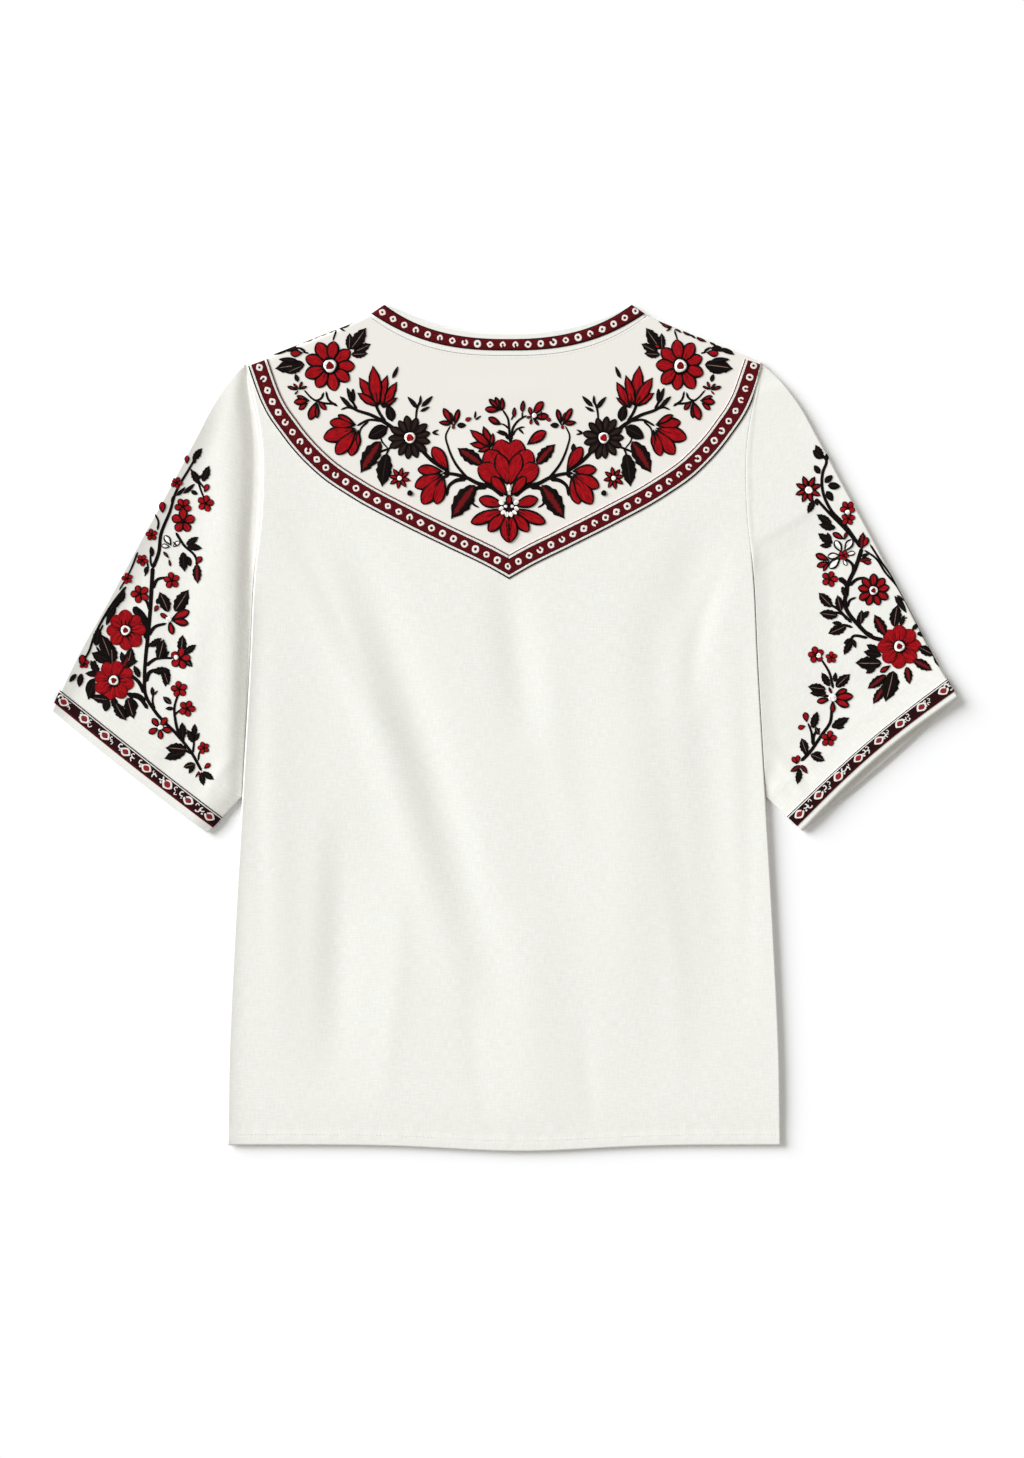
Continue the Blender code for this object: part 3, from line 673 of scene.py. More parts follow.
LEFT_SLEEVE_MOTIFS = in_order(
    ("rosette_wide", (329.5, 85, 17.5, 0), (339.5, 41.5, 17.5, 15)),
    ("bloom", (279.5, 179.5, 10.5, 20), (279.5, 192.5, 7.5, 60), (285, 213, 5.5, 40)),
    ("bud", (297.5, 186.5, 10, 90)),
    ("bloom", (307, 168, 5.5, 10), (315, 146, 5.5, 50), (317, 116.5, 8.5, 70),
     (289.5, 128.5, 7.5, -60), (260, 195, 7.5, -40)),
    ("bud", (261, 204.5, 8, 117)),
    ("petal_wide", (292, 94.5, 9, 35), (290, 94.5, 17.5, 155), (290, 94, 15.5, -168),
     (291.5, 93.5, 12.5, -103)),
    ("dot_white", (292, 94.5, 2.5, 0)),
    ("bud", (304.5, 101, 6.5, 118)),
    ("bloom", (282, 60.5, 9.5, 30)),
    ("dot_white", (285.5, 61.5, 2, 0)),
    ("bloom", (283, 34, 7.5, 10), (276, 17, 7.5, 40)),
    ("star_five", (299.5, 0.5, 10.5, 50)),
    ("dot_white", (298.5, 1, 2, 0)),
    ("bloom", (261.5, -17, 5.5, 0)),
    ("bud", (261, -35, 7, 140), (265.5, -37, 4, -84), (269, 142.5, 8.5, 131)),
    ("leaf_red", (267.5, 142.5, 17, -88)),
    ("bud", (366, 53, 11, 84)),
    ("bloom", (365.5, 56.5, 5, 20), (328, 130, 5, 80)),
    ("bud", (276, 229, 7.5, 90)),
    ("white_petal", (288.5, 157.5, 7.5, 141), (290, 158.5, 10.5, 58), (291, 157.5, 7.5, 9)),
    ("petal_slim", (288.5, 162, 5, -135), (292, 147.5, 7.5, 51), (292, 147, 6.5, -102)),
    ("leaf", (271, 232.5, 11.5, 132)),
    ("oval", (271.5, 229.5, 5, 135)),
    ("leaf", (266, 212, 12, 67), (262.5, 214, 13, 117)),
    ("oval", (267, 217, 4.5, 162), (272.5, 206, 6, -148)),
    ("blade", (279.5, 203.5, 12.5, 146), (285.5, 201.5, 10.5, 142)),
    ("leaf", (277, 159.5, 11, 153), (276, 158.5, 11.5, -166), (279.5, 153, 15, -90)),
    ("oval", (276, 147, 8.5, -39), (276, 149.5, 8.5, -103)),
    ("leaf", (306.5, 149, 8, 87)),
    ("oval", (311, 140.5, 6.5, -78), (301, 113, 5, -73)),
    ("leaf_wide", (292.5, 101, 17, 70), (287, 101.5, 20, 126)),
    ("oval", (317.5, 97.5, 8, 52)),
    ("leaf", (335.5, 108.5, 11, 118)),
    ("blade", (337.5, 107, 18.5, -57)),
    ("leaf", (341, 104, 10.5, 130)),
    ("leaf_wide", (343, 61.5, 19.5, 72)),
    ("leaf", (351, 62.5, 4.5, 18), (355.5, 71.5, 14.5, 103)),
    ("leaf_wide", (328.5, 52, 16.5, 107)),
    ("leaf", (331.5, 56.5, 9, 84), (322, 54, 7.5, -112), (347.5, 56.5, 11.5, 39), (352, 49.5, 9, -15)),
    ("oval", (357, 52.5, 6, 99)),
    ("leaf", (367.5, 47.5, 10.5, -77), (372, 47, 8, -47)),
    ("oval", (345, 25.5, 10, -80)),
    ("leaf_wide", (338, 22, 16, -119), (327.5, 26.5, 17, -104)),
    ("leaf", (325, 28.5, 6.5, -98), (356, 40.5, 14.5, -68)),
    ("leaf_wide", (357, 26.5, 13, -170)),
    ("leaf", (308.5, 71, 11, 148)),
    ("leaf_wide", (301, 59.5, 16.5, 108)),
    ("leaf", (298.5, 61, 8, 144)),
    ("leaf_wide", (281.5, 65.5, 14, 99)),
    ("leaf", (279, 65, 11.5, 149)),
    ("leaf_wide", (279, 61.5, 10, -129), (296.5, 51, 12.5, -105)),
    ("leaf", (306, 49.5, 13, 178), (306, 28, 7, 90)),
    ("blade", (305.5, 28.5, 5.5, 138)),
    ("leaf_wide", (290, 21, 8.5, 47)),
    ("leaf", (287.5, 17, 6.5, 4), (279.5, -9, 12.5, 90), (270.5, -12.5, 11, 69), (270, -11, 7.5, 128),
     (270.5, -7.5, 10, 100)),
    ("leaf_wide", (276, -18.5, 16.5, 9)),
    ("leaf", (277, -20.5, 16.5, -14)),
    ("leaf_wide", (268.5, -31, 9.5, -11)),
    ("leaf", (269, -31.5, 8, -54), (263, -38, 10.5, -95), (262, -37.5, 10.5, -140)),
    ("blade", (264.5, -37.5, 6, -48)),
    ("leaf_pale", (342, 55, 22, 72), (341, 55, 19, 90)),
    ("leaf", (343.5, 58.5, 15, 28), (353, 46.5, 12.5, 65), (352.5, 46.5, 10.5, 9)),
    ("leaf_red", (333, 51, 20, 124)),
    ("leaf", (330.5, 56, 10.5, 171), (317.5, 44, 10, 70)),
    ("oval", (347, 15, 9.5, 112)),
    ("leaf", (340, 27.5, 11.5, -103), (293, 52, 14, -79)),
)
LEFT_SLEEVE_STEMS = (
    Stem(
        2.4, 1.6, ((306, 140), (307, 122), (308, 104), (310, 81), (312, 63),
        (313, 45), (312, 29), (304, 15), (285, -5), (272, -21), (263, -37)),
    ),
    Stem(2.2, 1.2, ((306, 139), (301, 152), (299, 168), (291, 188), (286, 204), (274, 225), (267, 237))),
    Stem(1.2, 1.0, ((273, 225), (267, 216), (260, 207))),
    Stem(1.2, 1.0, ((267, 216), (263, 204), (260, 197))),
    Stem(1.6, 1.2, ((286, 170), (279, 159), (269, 149), (267, 136))),
    Stem(1.4, 1.0, ((302, 172), (301, 179), (304, 186))),
    Stem(1.2, 1.0, ((289, 193), (289, 199), (285, 204))),
    Stem(2.2, 1.2, ((306, 121), (302, 129), (292, 131))),
    Stem(2.2, 1.2, ((308, 102), (312, 111), (317, 115))),
    Stem(3.4, 2.2, ((311, 77), (314, 93), (320, 102))),
    Stem(2.4, 1.4, ((310, 80), (304, 88), (294, 91))),
    Stem(2.0, 1.2, ((312, 70), (306, 74), (300, 76))),
    Stem(2.2, 1.2, ((312, 54), (304, 60), (288, 61))),
    Stem(2.6, 1.6, ((312, 40), (308, 49), (300, 50), (294, 45))),
    Stem(2.4, 2.0, ((313, 30), (318, 40), (326, 47))),
    Stem(1.8, 1.4, ((312, 24), (318, 29), (327, 30))),
    Stem(1.4, 1.0, ((304, 16), (306, 24), (305, 31))),
    Stem(1.8, 1.2, ((282, -9), (286, 6), (287, 18), (284, 29))),
    Stem(1.2, 1.0, ((287, 11), (283, 15), (278, 17))),
    Stem(1.4, 1.0, ((279, -13), (279, -7), (279, -1))),
    Stem(1.4, 1.0, ((271, -22), (270, -14), (270, -5))),
    Stem(1.2, 1.0, ((266, -28), (265, -21), (262, -17))),
    Stem(1.6, 1.0, ((271, -22), (279, -19), (288, -20))),
    Stem(1.6, 1.2, ((329, 123), (338, 112), (348, 97), (357, 79), (362, 65), (366, 59))),
    Stem(1.2, 0.9, ((319, 153), (324, 140), (329, 130), (335, 120))),
    Stem(1.2, 1.0, ((313, 132), (310, 140), (312, 146))),
    Stem(1.2, 1.0, ((307, 140), (308, 147), (307, 156))),
    Stem(1.6, 1.0, ((348, 97), (341, 102), (335, 111))),
    Stem(1.4, 1.0, ((357, 79), (352, 84), (349, 90))),
    Stem(1.4, 1.2, ((347, 61), (351, 65), (355, 71))),
    Stem(2.0, 3.6, ((352, 43), (360, 40), (362, 34), (358, 28), (352, 27), (345, 28))),
    Stem(2.2, 3.6, ((341, 26), (338, 19), (333, 13), (325, 12))),
    Stem(1.6, 3.0, ((328, 26), (323, 24), (320, 19), (325, 17))),
    Stem(2.2, 2.6, ((310, 17), (317, 26), (328, 30))),
    Stem(2.0, 3.2, ((311, 74), (311, 92), (317, 101), (323, 105))),
)
RIGHT_SLEEVE_MOTIFS = in_order(
    ("rosette", (321, 119, 14.5, 10)),
    ("rosette_wide", (343.5, 70.5, 19, 0)),
    ("star", (264, 206.5, 12.5, 20)),
    ("dot_white", (265, 206, 3, 0)),
    ("bloom", (298.5, 190.5, 7, 50), (299, 181.5, 6.5, -60)),
    ("dot_white", (298.5, 187, 2, 0)),
    ("petal_wide", (283, 145, 13.5, 156), (282.5, 144, 11.5, -159)),
    ("petal_slim", (282.5, 145, 10.5, -119)),
    ("bloom", (283, 129, 7.5, -70)),
    ("petal_wide", (295.5, 163.5, 11.5, 151), (295.5, 163, 7, 72)),
    ("white_petal", (293.5, 152, 12, 119), (295.5, 153, 12.5, 55), (292.5, 149.5, 11.5, -175),
     (292.5, 147.5, 13.5, -138), (294.5, 146.5, 6.5, -62), (297, 150.5, 8, 10)),
    ("bloom", (295, 149.5, 5, 0)),
    ("leaf_red", (310.5, 155, 15, 88)),
    ("bud", (312, 156.5, 9.5, 67)),
    ("leaf_red", (308.5, 145, 11, 9)),
    ("bud", (311.5, 143.5, 7.5, 0)),
    ("leaf", (310.5, 148.5, 6, 23)),
    ("bloom", (271, 63, 7.5, 100)),
    ("dot_white", (273.5, 62.5, 2, 0)),
    ("bloom", (284.5, 61, 5.5, 20)),
    ("petal_wide", (285.5, 26, 18, 3), (286, 25, 16, -27), (286.5, 27, 13, 29), (283.5, 25, 12, -167)),
    ("petal_slim", (283.5, 27, 8.5, 171)),
    ("petal_wide", (285.5, 23.5, 11, -88)),
    ("petal_slim", (285, 28.5, 7, 113)),
    ("dot_white", (285.5, 26, 3.5, 0)),
    ("bloom", (283.5, -11, 7.5, 10)),
    ("bud", (263, 4.5, 9, 99), (262, 1.5, 7, -162), (255.5, -32.5, 8, 124), (256, -32, 7.5, 90)),
    ("leaf_red", (259, -34, 11, -150), (259, -33.5, 9.5, -49)),
    ("leaf", (258, -37, 11.5, -97), (277, 233.5, 12, 122)),
    ("oval", (276.5, 233.5, 10, 141), (274.5, 220.5, 8, 128), (278.5, 212.5, 8.5, 47),
     (281, 210, 10, 0), (280, 205.5, 9.5, -55)),
    ("leaf", (269, 197.5, 11, -111)),
    ("oval", (270.5, 198.5, 5.5, -70), (279.5, 231.5, 6.5, 78)),
    ("leaf", (284.5, 177.5, 13, 153), (288, 173.5, 13, 172), (285.5, 160, 13.5, 149),
     (284.5, 158.5, 9, -174), (284, 161, 8, 114)),
    ("leaf_wide", (285, 105, 15, 137), (293, 101.5, 12.5, 107), (290, 97.5, 14.5, 176),
     (297.5, 88.5, 15.5, -153)),
    ("leaf", (293.5, 90.5, 7.5, 180), (301.5, 75.5, 12, -113), (302.5, 77, 7.5, -65),
     (301.5, 77.5, 7, -140), (293.5, 122.5, 10, -63)),
    ("leaf_wide", (310, 90, 11, 90)),
    ("oval", (311.5, 95, 7.5, 52)),
    ("leaf_red", (332, 80, 21, 123)),
    ("leaf_wide", (339, 87.5, 17.5, 85)),
    ("leaf", (344.5, 88.5, 8.5, 74), (354.5, 85, 7.5, 45), (358.5, 81.5, 10, 0),
     (327.5, 65.5, 12.5, 156), (328, 63, 14, 173)),
    ("leaf_wide", (328, 56, 20.5, -177)),
    ("leaf", (323, 52.5, 9, -145)),
    ("leaf_red", (332, 45.5, 20, -139), (330.5, 35, 18, -115)),
    ("leaf_wide", (338.5, 49, 25.5, -98)),
    ("petal_wide", (336, 54, 11, -147)),
    ("leaf_red", (350, 52.5, 16, -75), (355.5, 58.5, 19, -24)),
    ("leaf_wide", (360, 70, 14, -25)),
    ("leaf", (374, 63.5, 10, -62)),
    ("blade", (339, 114.5, 17, -49), (341, 115, 7.5, -33), (350, 96, 2.5, -135)),
    ("leaf", (283, 36, 12, 124)),
    ("leaf_wide", (279.5, 33.5, 14, 176)),
    ("leaf", (280, 30.5, 12.5, -174)),
    ("leaf_wide", (288.5, 35, 15, 47)),
    ("leaf", (287.5, 39.5, 7.5, 90), (285.5, -1, 15.5, 32), (287.5, -0.5, 8.5, 0),
     (268.5, -1, 13.5, 80)),
    ("leaf_wide", (274.5, -7, 7.5, 120), (264, -23.5, 13.5, 114), (267.5, -24.5, 12.5, -21)),
    ("leaf", (269.5, -24, 7, 8)),
)
RIGHT_SLEEVE_STEMS = (
    Stem(
        1.6, 2.0, ((273, 239), (280, 232), (277, 222), (276, 213),
        (278, 201), (284, 189), (296, 176), (310, 156)),
    ),
    Stem(1.6, 2.2, ((271, 199), (281, 188), (296, 173), (311, 156))),
    Stem(2.4, 2.4, ((311, 156), (305, 138), (299, 125), (297, 104), (307, 90), (321, 78), (330, 76))),
    Stem(1.4, 2.2, ((295, 148), (303, 141), (303, 131))),
    Stem(1.6, 2.0, ((315, 130), (307, 129), (300, 123))),
    Stem(3.4, 1.8, ((291, 130), (297, 125), (298, 113))),
    Stem(1.8, 1.2, ((298, 104), (301, 111), (306, 113))),
    Stem(1.4, 1.8, ((281, 108), (290, 103), (299, 93))),
    Stem(1.4, 1.8, ((282, 100), (293, 99), (302, 91))),
    Stem(1.4, 1.6, ((286, 86), (295, 89), (303, 87))),
    Stem(1.4, 1.8, ((300, 71), (303, 79), (316, 78))),
    Stem(1.6, 2.0, ((315, 100), (308, 96), (310, 87), (321, 79))),
    Stem(1.2, 1.6, ((276, 59), (283, 47), (286, 34))),
    Stem(1.8, 2.2, ((285, 16), (284, 4), (277, -7), (266, -23), (259, -30))),
    Stem(1.2, 1.6, ((264, 4), (267, -3), (269, -16))),
    Stem(2.0, 1.6, ((275, -1), (270, -7), (270, -17))),
    Stem(1.2, 1.4, ((259, -16), (262, -23), (265, -26))),
    Stem(
        1.2, 1.4, ((313, 154), (323, 147), (331, 135), (342, 122),
        (350, 109), (359, 93), (368, 77), (377, 60)),
    ),
    Stem(1.2, 1.2, ((318, 159), (327, 145), (339, 128), (348, 113))),
)

# The white heart of the middle flower, and what lies round it.
Drop = namedtuple("Drop", "shape hue out up turn size wide")
HEART = (
    Drop("petal", "red", 0.0, 190.0, -90, 29.5, 1.2),
    Drop("blade", "black", 1.6, 182.0, -82, 11.0, 0.5),
    Drop("blade", "black", 0.6, 180.0, -90, 15.0, 0.4),
    Drop("oval", "black", 0.0, 180.5, 90, 17.0, 1.5),
    Drop("oval", "plain_white", 4.2, 194.0, 30, 5.2, 1.5),
    Drop("oval", "plain_white", 4.6, 191.0, -20, 4.6, 1.5),
    Drop("oval", "plain_white", 3.0, 188.0, -30, 4.6, 1.5),
    Drop("oval", "plain_white", 1.2, 187.4, -75, 4.8, 1.5),
    Drop("oval", "plain_white", 1.2, 191.6, 15, 3.4, 1.5),
    Drop("oval", "dark_red", 2.6, 189.2, 60, 2.2, 1.2),
    Drop("oval", "dark_red", 0.8, 189.6, 80, 2.4, 1.2),
    Drop("petal", "red", 0.0, 191.5, 90, 10.5, 1.25),
    Drop("oval", "plain_white", 0.0, 204.5, 90, 6.6, 0.95),
)

# The photograph's frame on the floor, and the lens that sees it from straight above.
FRAME_LONG = 1268.5
FRAME_X = 7.0
FRAME_Y = -1.3
LENS = 100.0
SENSOR = 36.0
# Where the soft light comes from, and how wide it looks, in degrees.
KEY_TOWARD = (-1.75, 0.95, 1.03)
KEY_ANGLE = 40.0
FLOOR_HALF = 15000.0


def curve_through(rows, at):
    """A smooth curve through rows of (place, value), read at the places in at."""
    place, value = np.array(rows, float).T
    slope = np.gradient(value, place)
    at = np.asarray(at, float)
    i = np.clip(np.searchsorted(place, at, side="right") - 1, 0, len(place) - 2)
    span = place[i + 1] - place[i]
    t = (at - place[i]) / span
    return (
        (2 * t**3 - 3 * t**2 + 1) * value[i]
        + (t**3 - 2 * t**2 + t) * span * slope[i]
        + (3 * t**2 - 2 * t**3) * value[i + 1]
        + (t**3 - t**2) * span * slope[i + 1]
    )


def lengths_along(line):
    steps = np.linalg.norm(np.diff(line, axis=0), axis=1)
    return np.concatenate([[0.0], np.cumsum(steps)])


def roll(distance, reach):
    """The share of its full height that cloth has at a distance from its sewn edge."""
    return np.sin(0.5 * math.pi * np.clip(np.asarray(distance, float) / reach, 0, 1))


def curl(distance, reach, depth):
    """How far a cloth's rounded edge drops at a distance from the edge."""
    share = 1 - np.clip(np.asarray(distance, float) / reach, 0, 1)
    return depth * (1 - np.sqrt(1 - share**2))


def half_width(y):
    return curve_through(SIDE, np.clip(y, HEM_CORNER_Y, SHOULDER_Y))


def hem_y(x):
    return HEM_CORNER_Y - HEM_DIP * np.exp(-(((np.asarray(x) - HEM_DIP_X) / HEM_DIP_WIDTH) ** 2))


def neck_edge_y(out):
    return NECK_BOTTOM_Y + NECK_RISE * (np.abs(out) / NECK_HALF) ** NECK_POWER


def band_seam_y(out):
    return BAND_BOTTOM_Y + BAND_RISE * (np.abs(out) / BAND_HALF) ** BAND_POWER


def v_line_y(out, half, top, bottom):
    share = np.abs(out) / half
    return bottom + (top - bottom) * share - V_BOW * np.sin(math.pi * share)


def v_seam_y(out):
    return v_line_y(out, BAND_HALF, band_seam_y(BAND_HALF), V_BAND_Y)


def v_edge_y(out):
    return v_line_y(out, NECK_HALF, neck_edge_y(NECK_HALF), V_NECK_Y)


def back_outline_y(x):
    """The silhouette's top edge: neck, then the band's end, then the shoulder."""
    out = np.abs(np.asarray(x, float) - NECK_X)
    ends = (neck_edge_y(NECK_HALF), band_seam_y(BAND_HALF), SHOULDER_Y)
    beyond = np.interp(out, (NECK_HALF, BAND_HALF, SHOULDER_X), ends)
    return np.where(out < NECK_HALF, neck_edge_y(out), beyond)


def armhole_lift(y):
    """How far the cloth stands up along the armhole, from 0 at its ends to 1."""
    length = SHOULDER_Y - UNDERARM_Y
    up = np.clip(np.asarray(y, float) - UNDERARM_Y, 0, length)
    return roll(up, 2 * SIDE_ROLL) * roll(length - up, 2 * SIDE_ROLL)


def folds_height(folds, x, y):
    """The sum of the soft ridges and troughs at each point."""
    total = np.zeros(np.shape(x))
    for f in folds:
        run = np.array((f.to_x - f.from_x, f.to_y - f.from_y))
        length = np.linalg.norm(run)
        run = run / length
        along = ((x - f.from_x) * run[0] + (y - f.from_y) * run[1]) / length
        fade = np.sin(math.pi * np.clip(along, 0, 1))
        across = (x - f.from_x) * run[1] - (y - f.from_y) * run[0] - f.bow * fade
        total += f.height * fade * np.exp(-((across / f.width) ** 2))
    return total


def back_height(x, y):
    """Height of the back's upper surface, with its creases and its rounded edges."""
    side = half_width(y) - np.abs(x)
    at_right = np.asarray(x) > 0
    lift = armhole_lift(y) * np.where(at_right, RIGHT_ARMHOLE_SHARE, LEFT_ARMHOLE_SHARE)
    by_armhole = np.clip((y - UNDERARM_Y) / SLEEVE_FREE_REACH, 0, 1) * LEFT_ARMHOLE_ROLL
    from_side = roll(side, np.where(at_right, RIGHT_SIDE_ROLL, LEFT_SIDE_ROLL + by_armhole))
    from_side = from_side + (1 - from_side) * lift
    beyond = np.clip((np.abs(x - NECK_X) - BAND_HALF) / SHOULDER_EASE, 0, 1)
    from_top = roll(back_outline_y(x) - y, NECK_ROLL + (SHOULDER_ROLL - NECK_ROLL) * beyond)
    from_hem = HEM_SHARE + (1 - HEM_SHARE) * roll(y - hem_y(x), HEM_ROLL)
    folds = folds_height(BACK_FOLDS, x, y) + CREASE_SHARE * folds_height(BACK_CREASES, x, y)
    z = STACK + from_side * from_top * from_hem * (RISE + folds)
    at_side = y < UNDERARM_Y
    lip = np.where(at_right, RIGHT_LIP, LEFT_LIP) * np.clip((UNDERARM_Y - y) / LIP_FADE, 0, 1)
    z = z + lip * np.exp(-side / LIP_REACH)
    z = z - np.where(at_side, curl(side, CURL_REACH, CURL_DEPTH), 0)
    z = z - np.where(at_side, 0, curl(side, SEAM_GROOVE_REACH, SEAM_GROOVE))
    return z - curl(back_outline_y(x) - y, CURL_REACH, CURL_DEPTH)


def hem_step(x, y):
    """The hem's turned-up edge stands a little proud of the cloth above it."""
    above = y - hem_y(x) - HEM_DEPTH
    ripple = sum(wave.height * np.sin(x / wave.pitch + wave.shift) for wave in PUCKER_WAVES)
    pucker = PUCKER * ripple * np.exp(-((above / PUCKER_REACH) ** 2))
    step = HEM_FOLD_STEP * (0.5 - 0.5 * np.tanh(above / HEM_STEP_REACH))
    return step - curl(y - hem_y(x), HEM_EDGE_REACH, HEM_EDGE_DEPTH) + pucker


def shares_with_edges(width, grid, edges):
    """Shares from 0 to 1 across a width, a grid apart, with finer steps at both ends."""
    middle = np.linspace(edges[-1], width - edges[-1], max(3, round((width - 2 * edges[-1]) / grid)))
    return np.concatenate([edges[:-1], middle, width - np.array(edges[-2::-1])]) / width


def body_plan(columns, side_y, neck_top_y):
    """Where a panel's points lie seen from above. neck_top_y gives the neck seam's height."""
    up = (side_y - HEM_CORNER_Y) / (SHOULDER_Y - HEM_CORNER_Y)
    share = np.interp(np.abs(columns), (0, NECK_COLUMN, 1), (0, 0, 1))
    inside = np.interp(np.abs(columns), (0, NECK_COLUMN), (0, BAND_HALF))
    side = np.sign(columns)
    neck_x = NECK_X + side * inside
    top_x = neck_x + share * (side * SHOULDER_X - neck_x)
    top_y = neck_top_y(inside) + share * (SHOULDER_Y - band_seam_y(BAND_HALF))
    hem_x = columns * SIDE[0].half_width
    x = np.outer(half_width(side_y), columns) + np.outer(up, top_x - columns * SHOULDER_X)
    y = np.outer(1 - up, hem_y(hem_x)) + np.outer(up, top_y)
    return x, y


def body_grid(grid, neck_top_y):
    columns = 2 * shares_with_edges(2 * SIDE[0].half_width, grid, EDGE_STEPS) - 1
    length = SHOULDER_Y - HEM_CORNER_Y
    side_y = HEM_CORNER_Y + length * shares_with_edges(length, grid, EDGE_STEPS)
    return body_plan(columns, side_y, neck_top_y)


def neck_strip(out, seam_y, edge_y, shares):
    """Points of a strip between the band's seam and the neck's edge, at shares of its width."""
    share = np.array(shares)
    share = share[:, None] if share.ndim == 1 else share
    side = np.sign(out)
    step = np.abs(out)
    seam_out, edge_out = step * BAND_HALF, step * NECK_HALF
    x = NECK_X + side * ((1 - share) * seam_out + share * edge_out)
    y = (1 - share) * (seam_y(seam_out) + SEAM_GAP) + share * edge_y(edge_out)
    return x, y


def stack(x, y, z):
    return np.stack([x, y, np.broadcast_to(z, np.shape(x))], axis=-1)


def sleeve_lines(cuff, grid):
    """The rows of a sleeve: where each starts at the body, where it ends, and how far down it is."""
    y = np.arange(SHOULDER_Y, SLEEVE_LEAVES_BODY_Y, -grid)
    y = np.append(y, SLEEVE_LEAVES_BODY_Y)
    gap = np.where(y < UNDERARM_Y, FREE_EDGE_GAP, SEAM_TOUCH)
    beside = np.column_stack([half_width(y) + gap, y])
    end = np.array((cuff.seam_out, cuff.seam_height))
    free = np.linalg.norm(end - beside[-1])
    steps = np.linspace(0, 1, round(free / grid) + 1)[1:, None]
    inner = np.vstack([beside, beside[-1] + steps * (end - beside[-1])])
    fold = np.array([tuple(e) for e in SLEEVE_FOLD] + [(cuff.fold_out, cuff.fold_height)])
    fold[:, 0] += cuff.fuller * np.sin(np.linspace(0, math.pi, len(fold)))
    down, along = lengths_along(fold), lengths_along(inner)
    whole, leaves = along[-1], along[len(beside) - 1]
    near = CUFF_TOP + CUFF_EASE
    known = (0.0, leaves, whole - near, whole)
    at = np.interp(along, known, (0.0, leaves / whole * down[-1], down[-1] - near, down[-1]))
    outer = [curve_through(np.column_stack([down, fold[:, axis]]), at) for axis in range(2)]
    return inner, np.column_stack(outer), at


def sleeve_row(start, end, at, length, cuff, lip, creases):
    """One row of a sleeve's outside, from its seam over the fold and back under to the seam."""
    width = np.linalg.norm(end - start)
    direction = (end - start) / width
    down_sleeve = np.array((direction[1], -direction[0]))
    near_cuff = np.clip(1 - (length - at) / CUFF_REACH, 0, 1)
    low = CUFF_LIFT * near_cuff * near_cuff * (3 - 2 * near_cuff)
    radius = np.interp(at, (0, CUFF_REACH), (FOLD_RADIUS_TOP, FOLD_RADIUS + lip / 2))
    flat = width - FOLD_PRESS * radius
    y = start[1]
    r = SLEEVE_SHARES * flat
    sewn = np.clip((y - UNDERARM_Y) / SLEEVE_FREE_REACH, 0, 1)
    beside = (1 - sewn) * np.clip((y - SLEEVE_LEAVES_BODY_Y) / SLEEVE_FREE_REACH, 0, 1)
    seam = (armhole_lift(y) * cuff.lift + beside * cuff.beside) * RISE
    reach = sewn * SLEEVE_ROLL + (1 - sewn) * cuff.edge_roll
    level = RISE * (1 - cuff.drop * (1 - SEWN_DROP * sewn))
    body = seam + (level - seam) * roll(r - sewn * SEAM_STRIP, reach)
    away, depth = np.interp(y, *VALLEY_AWAY), np.interp(y, *VALLEY_DEPTH)
    dip = np.exp(-(((r - away) / VALLEY_WIDTH) ** 2)) * roll(r - SEAM_STRIP, VALLEY_WIDTH)
    body = body * (1 - cuff.valley * depth * dip)
    x_up, y_up = (start + np.outer(r, direction)).T
    edge_share = (sewn * roll(r, CREASE_START) + 1 - sewn) * roll(flat - r, SLEEVE_ROLL)
    body = body + folds_height(creases, x_up, y_up) * edge_share
    at_fold = 2 * radius - STACK
    top = STACK + at_fold + (body - at_fold) * roll(flat - r, cuff.fold_roll)
    top = np.maximum(top, sewn * (STACK + seam - SEAM_SLACK) + (1 - sewn) * VALLEY_FLOOR)
    top = np.where(r <= SEAM_STRIP, sewn * (STACK + seam) + (1 - sewn) * top, top)
    drop = SEAM_GROOVE if y >= UNDERARM_Y else FREE_EDGE_DROP * (1 - BESIDE_DROP * cuff.beside)
    top = top - curl(r, SEAM_GROOVE_REACH, drop)
    turn = np.linspace(0.5 * math.pi, -0.5 * math.pi, FOLD_ARC_STEPS + 1)[1:-1]
    under = LOWER_SHARES * flat
    out = np.concatenate([r, flat + FOLD_PRESS * radius * np.cos(turn), under])
    z = np.concatenate([top, radius + radius * np.sin(turn), np.zeros(len(under))]) + low
    bulge = np.sin(math.pi * np.clip(out / width, 0, 1))
    beyond = cuff.bow * near_cuff * bulge
    lower = len(r) + len(turn)
    beyond[lower:] += cuff.overhang * near_cuff**2 * bulge[lower:]
    return np.column_stack([start + np.outer(out, direction) + np.outer(beyond, down_sleeve), z])


# Where a sleeve's columns lie: finer near its seam and its fold, and plain on the underside.
SLEEVE_WIDTH = 190.0
SLEEVE_SHARES = shares_with_edges(SLEEVE_WIDTH, GRID, EDGE_STEPS)
LOWER_SHARES = np.linspace(1, 0, 28)


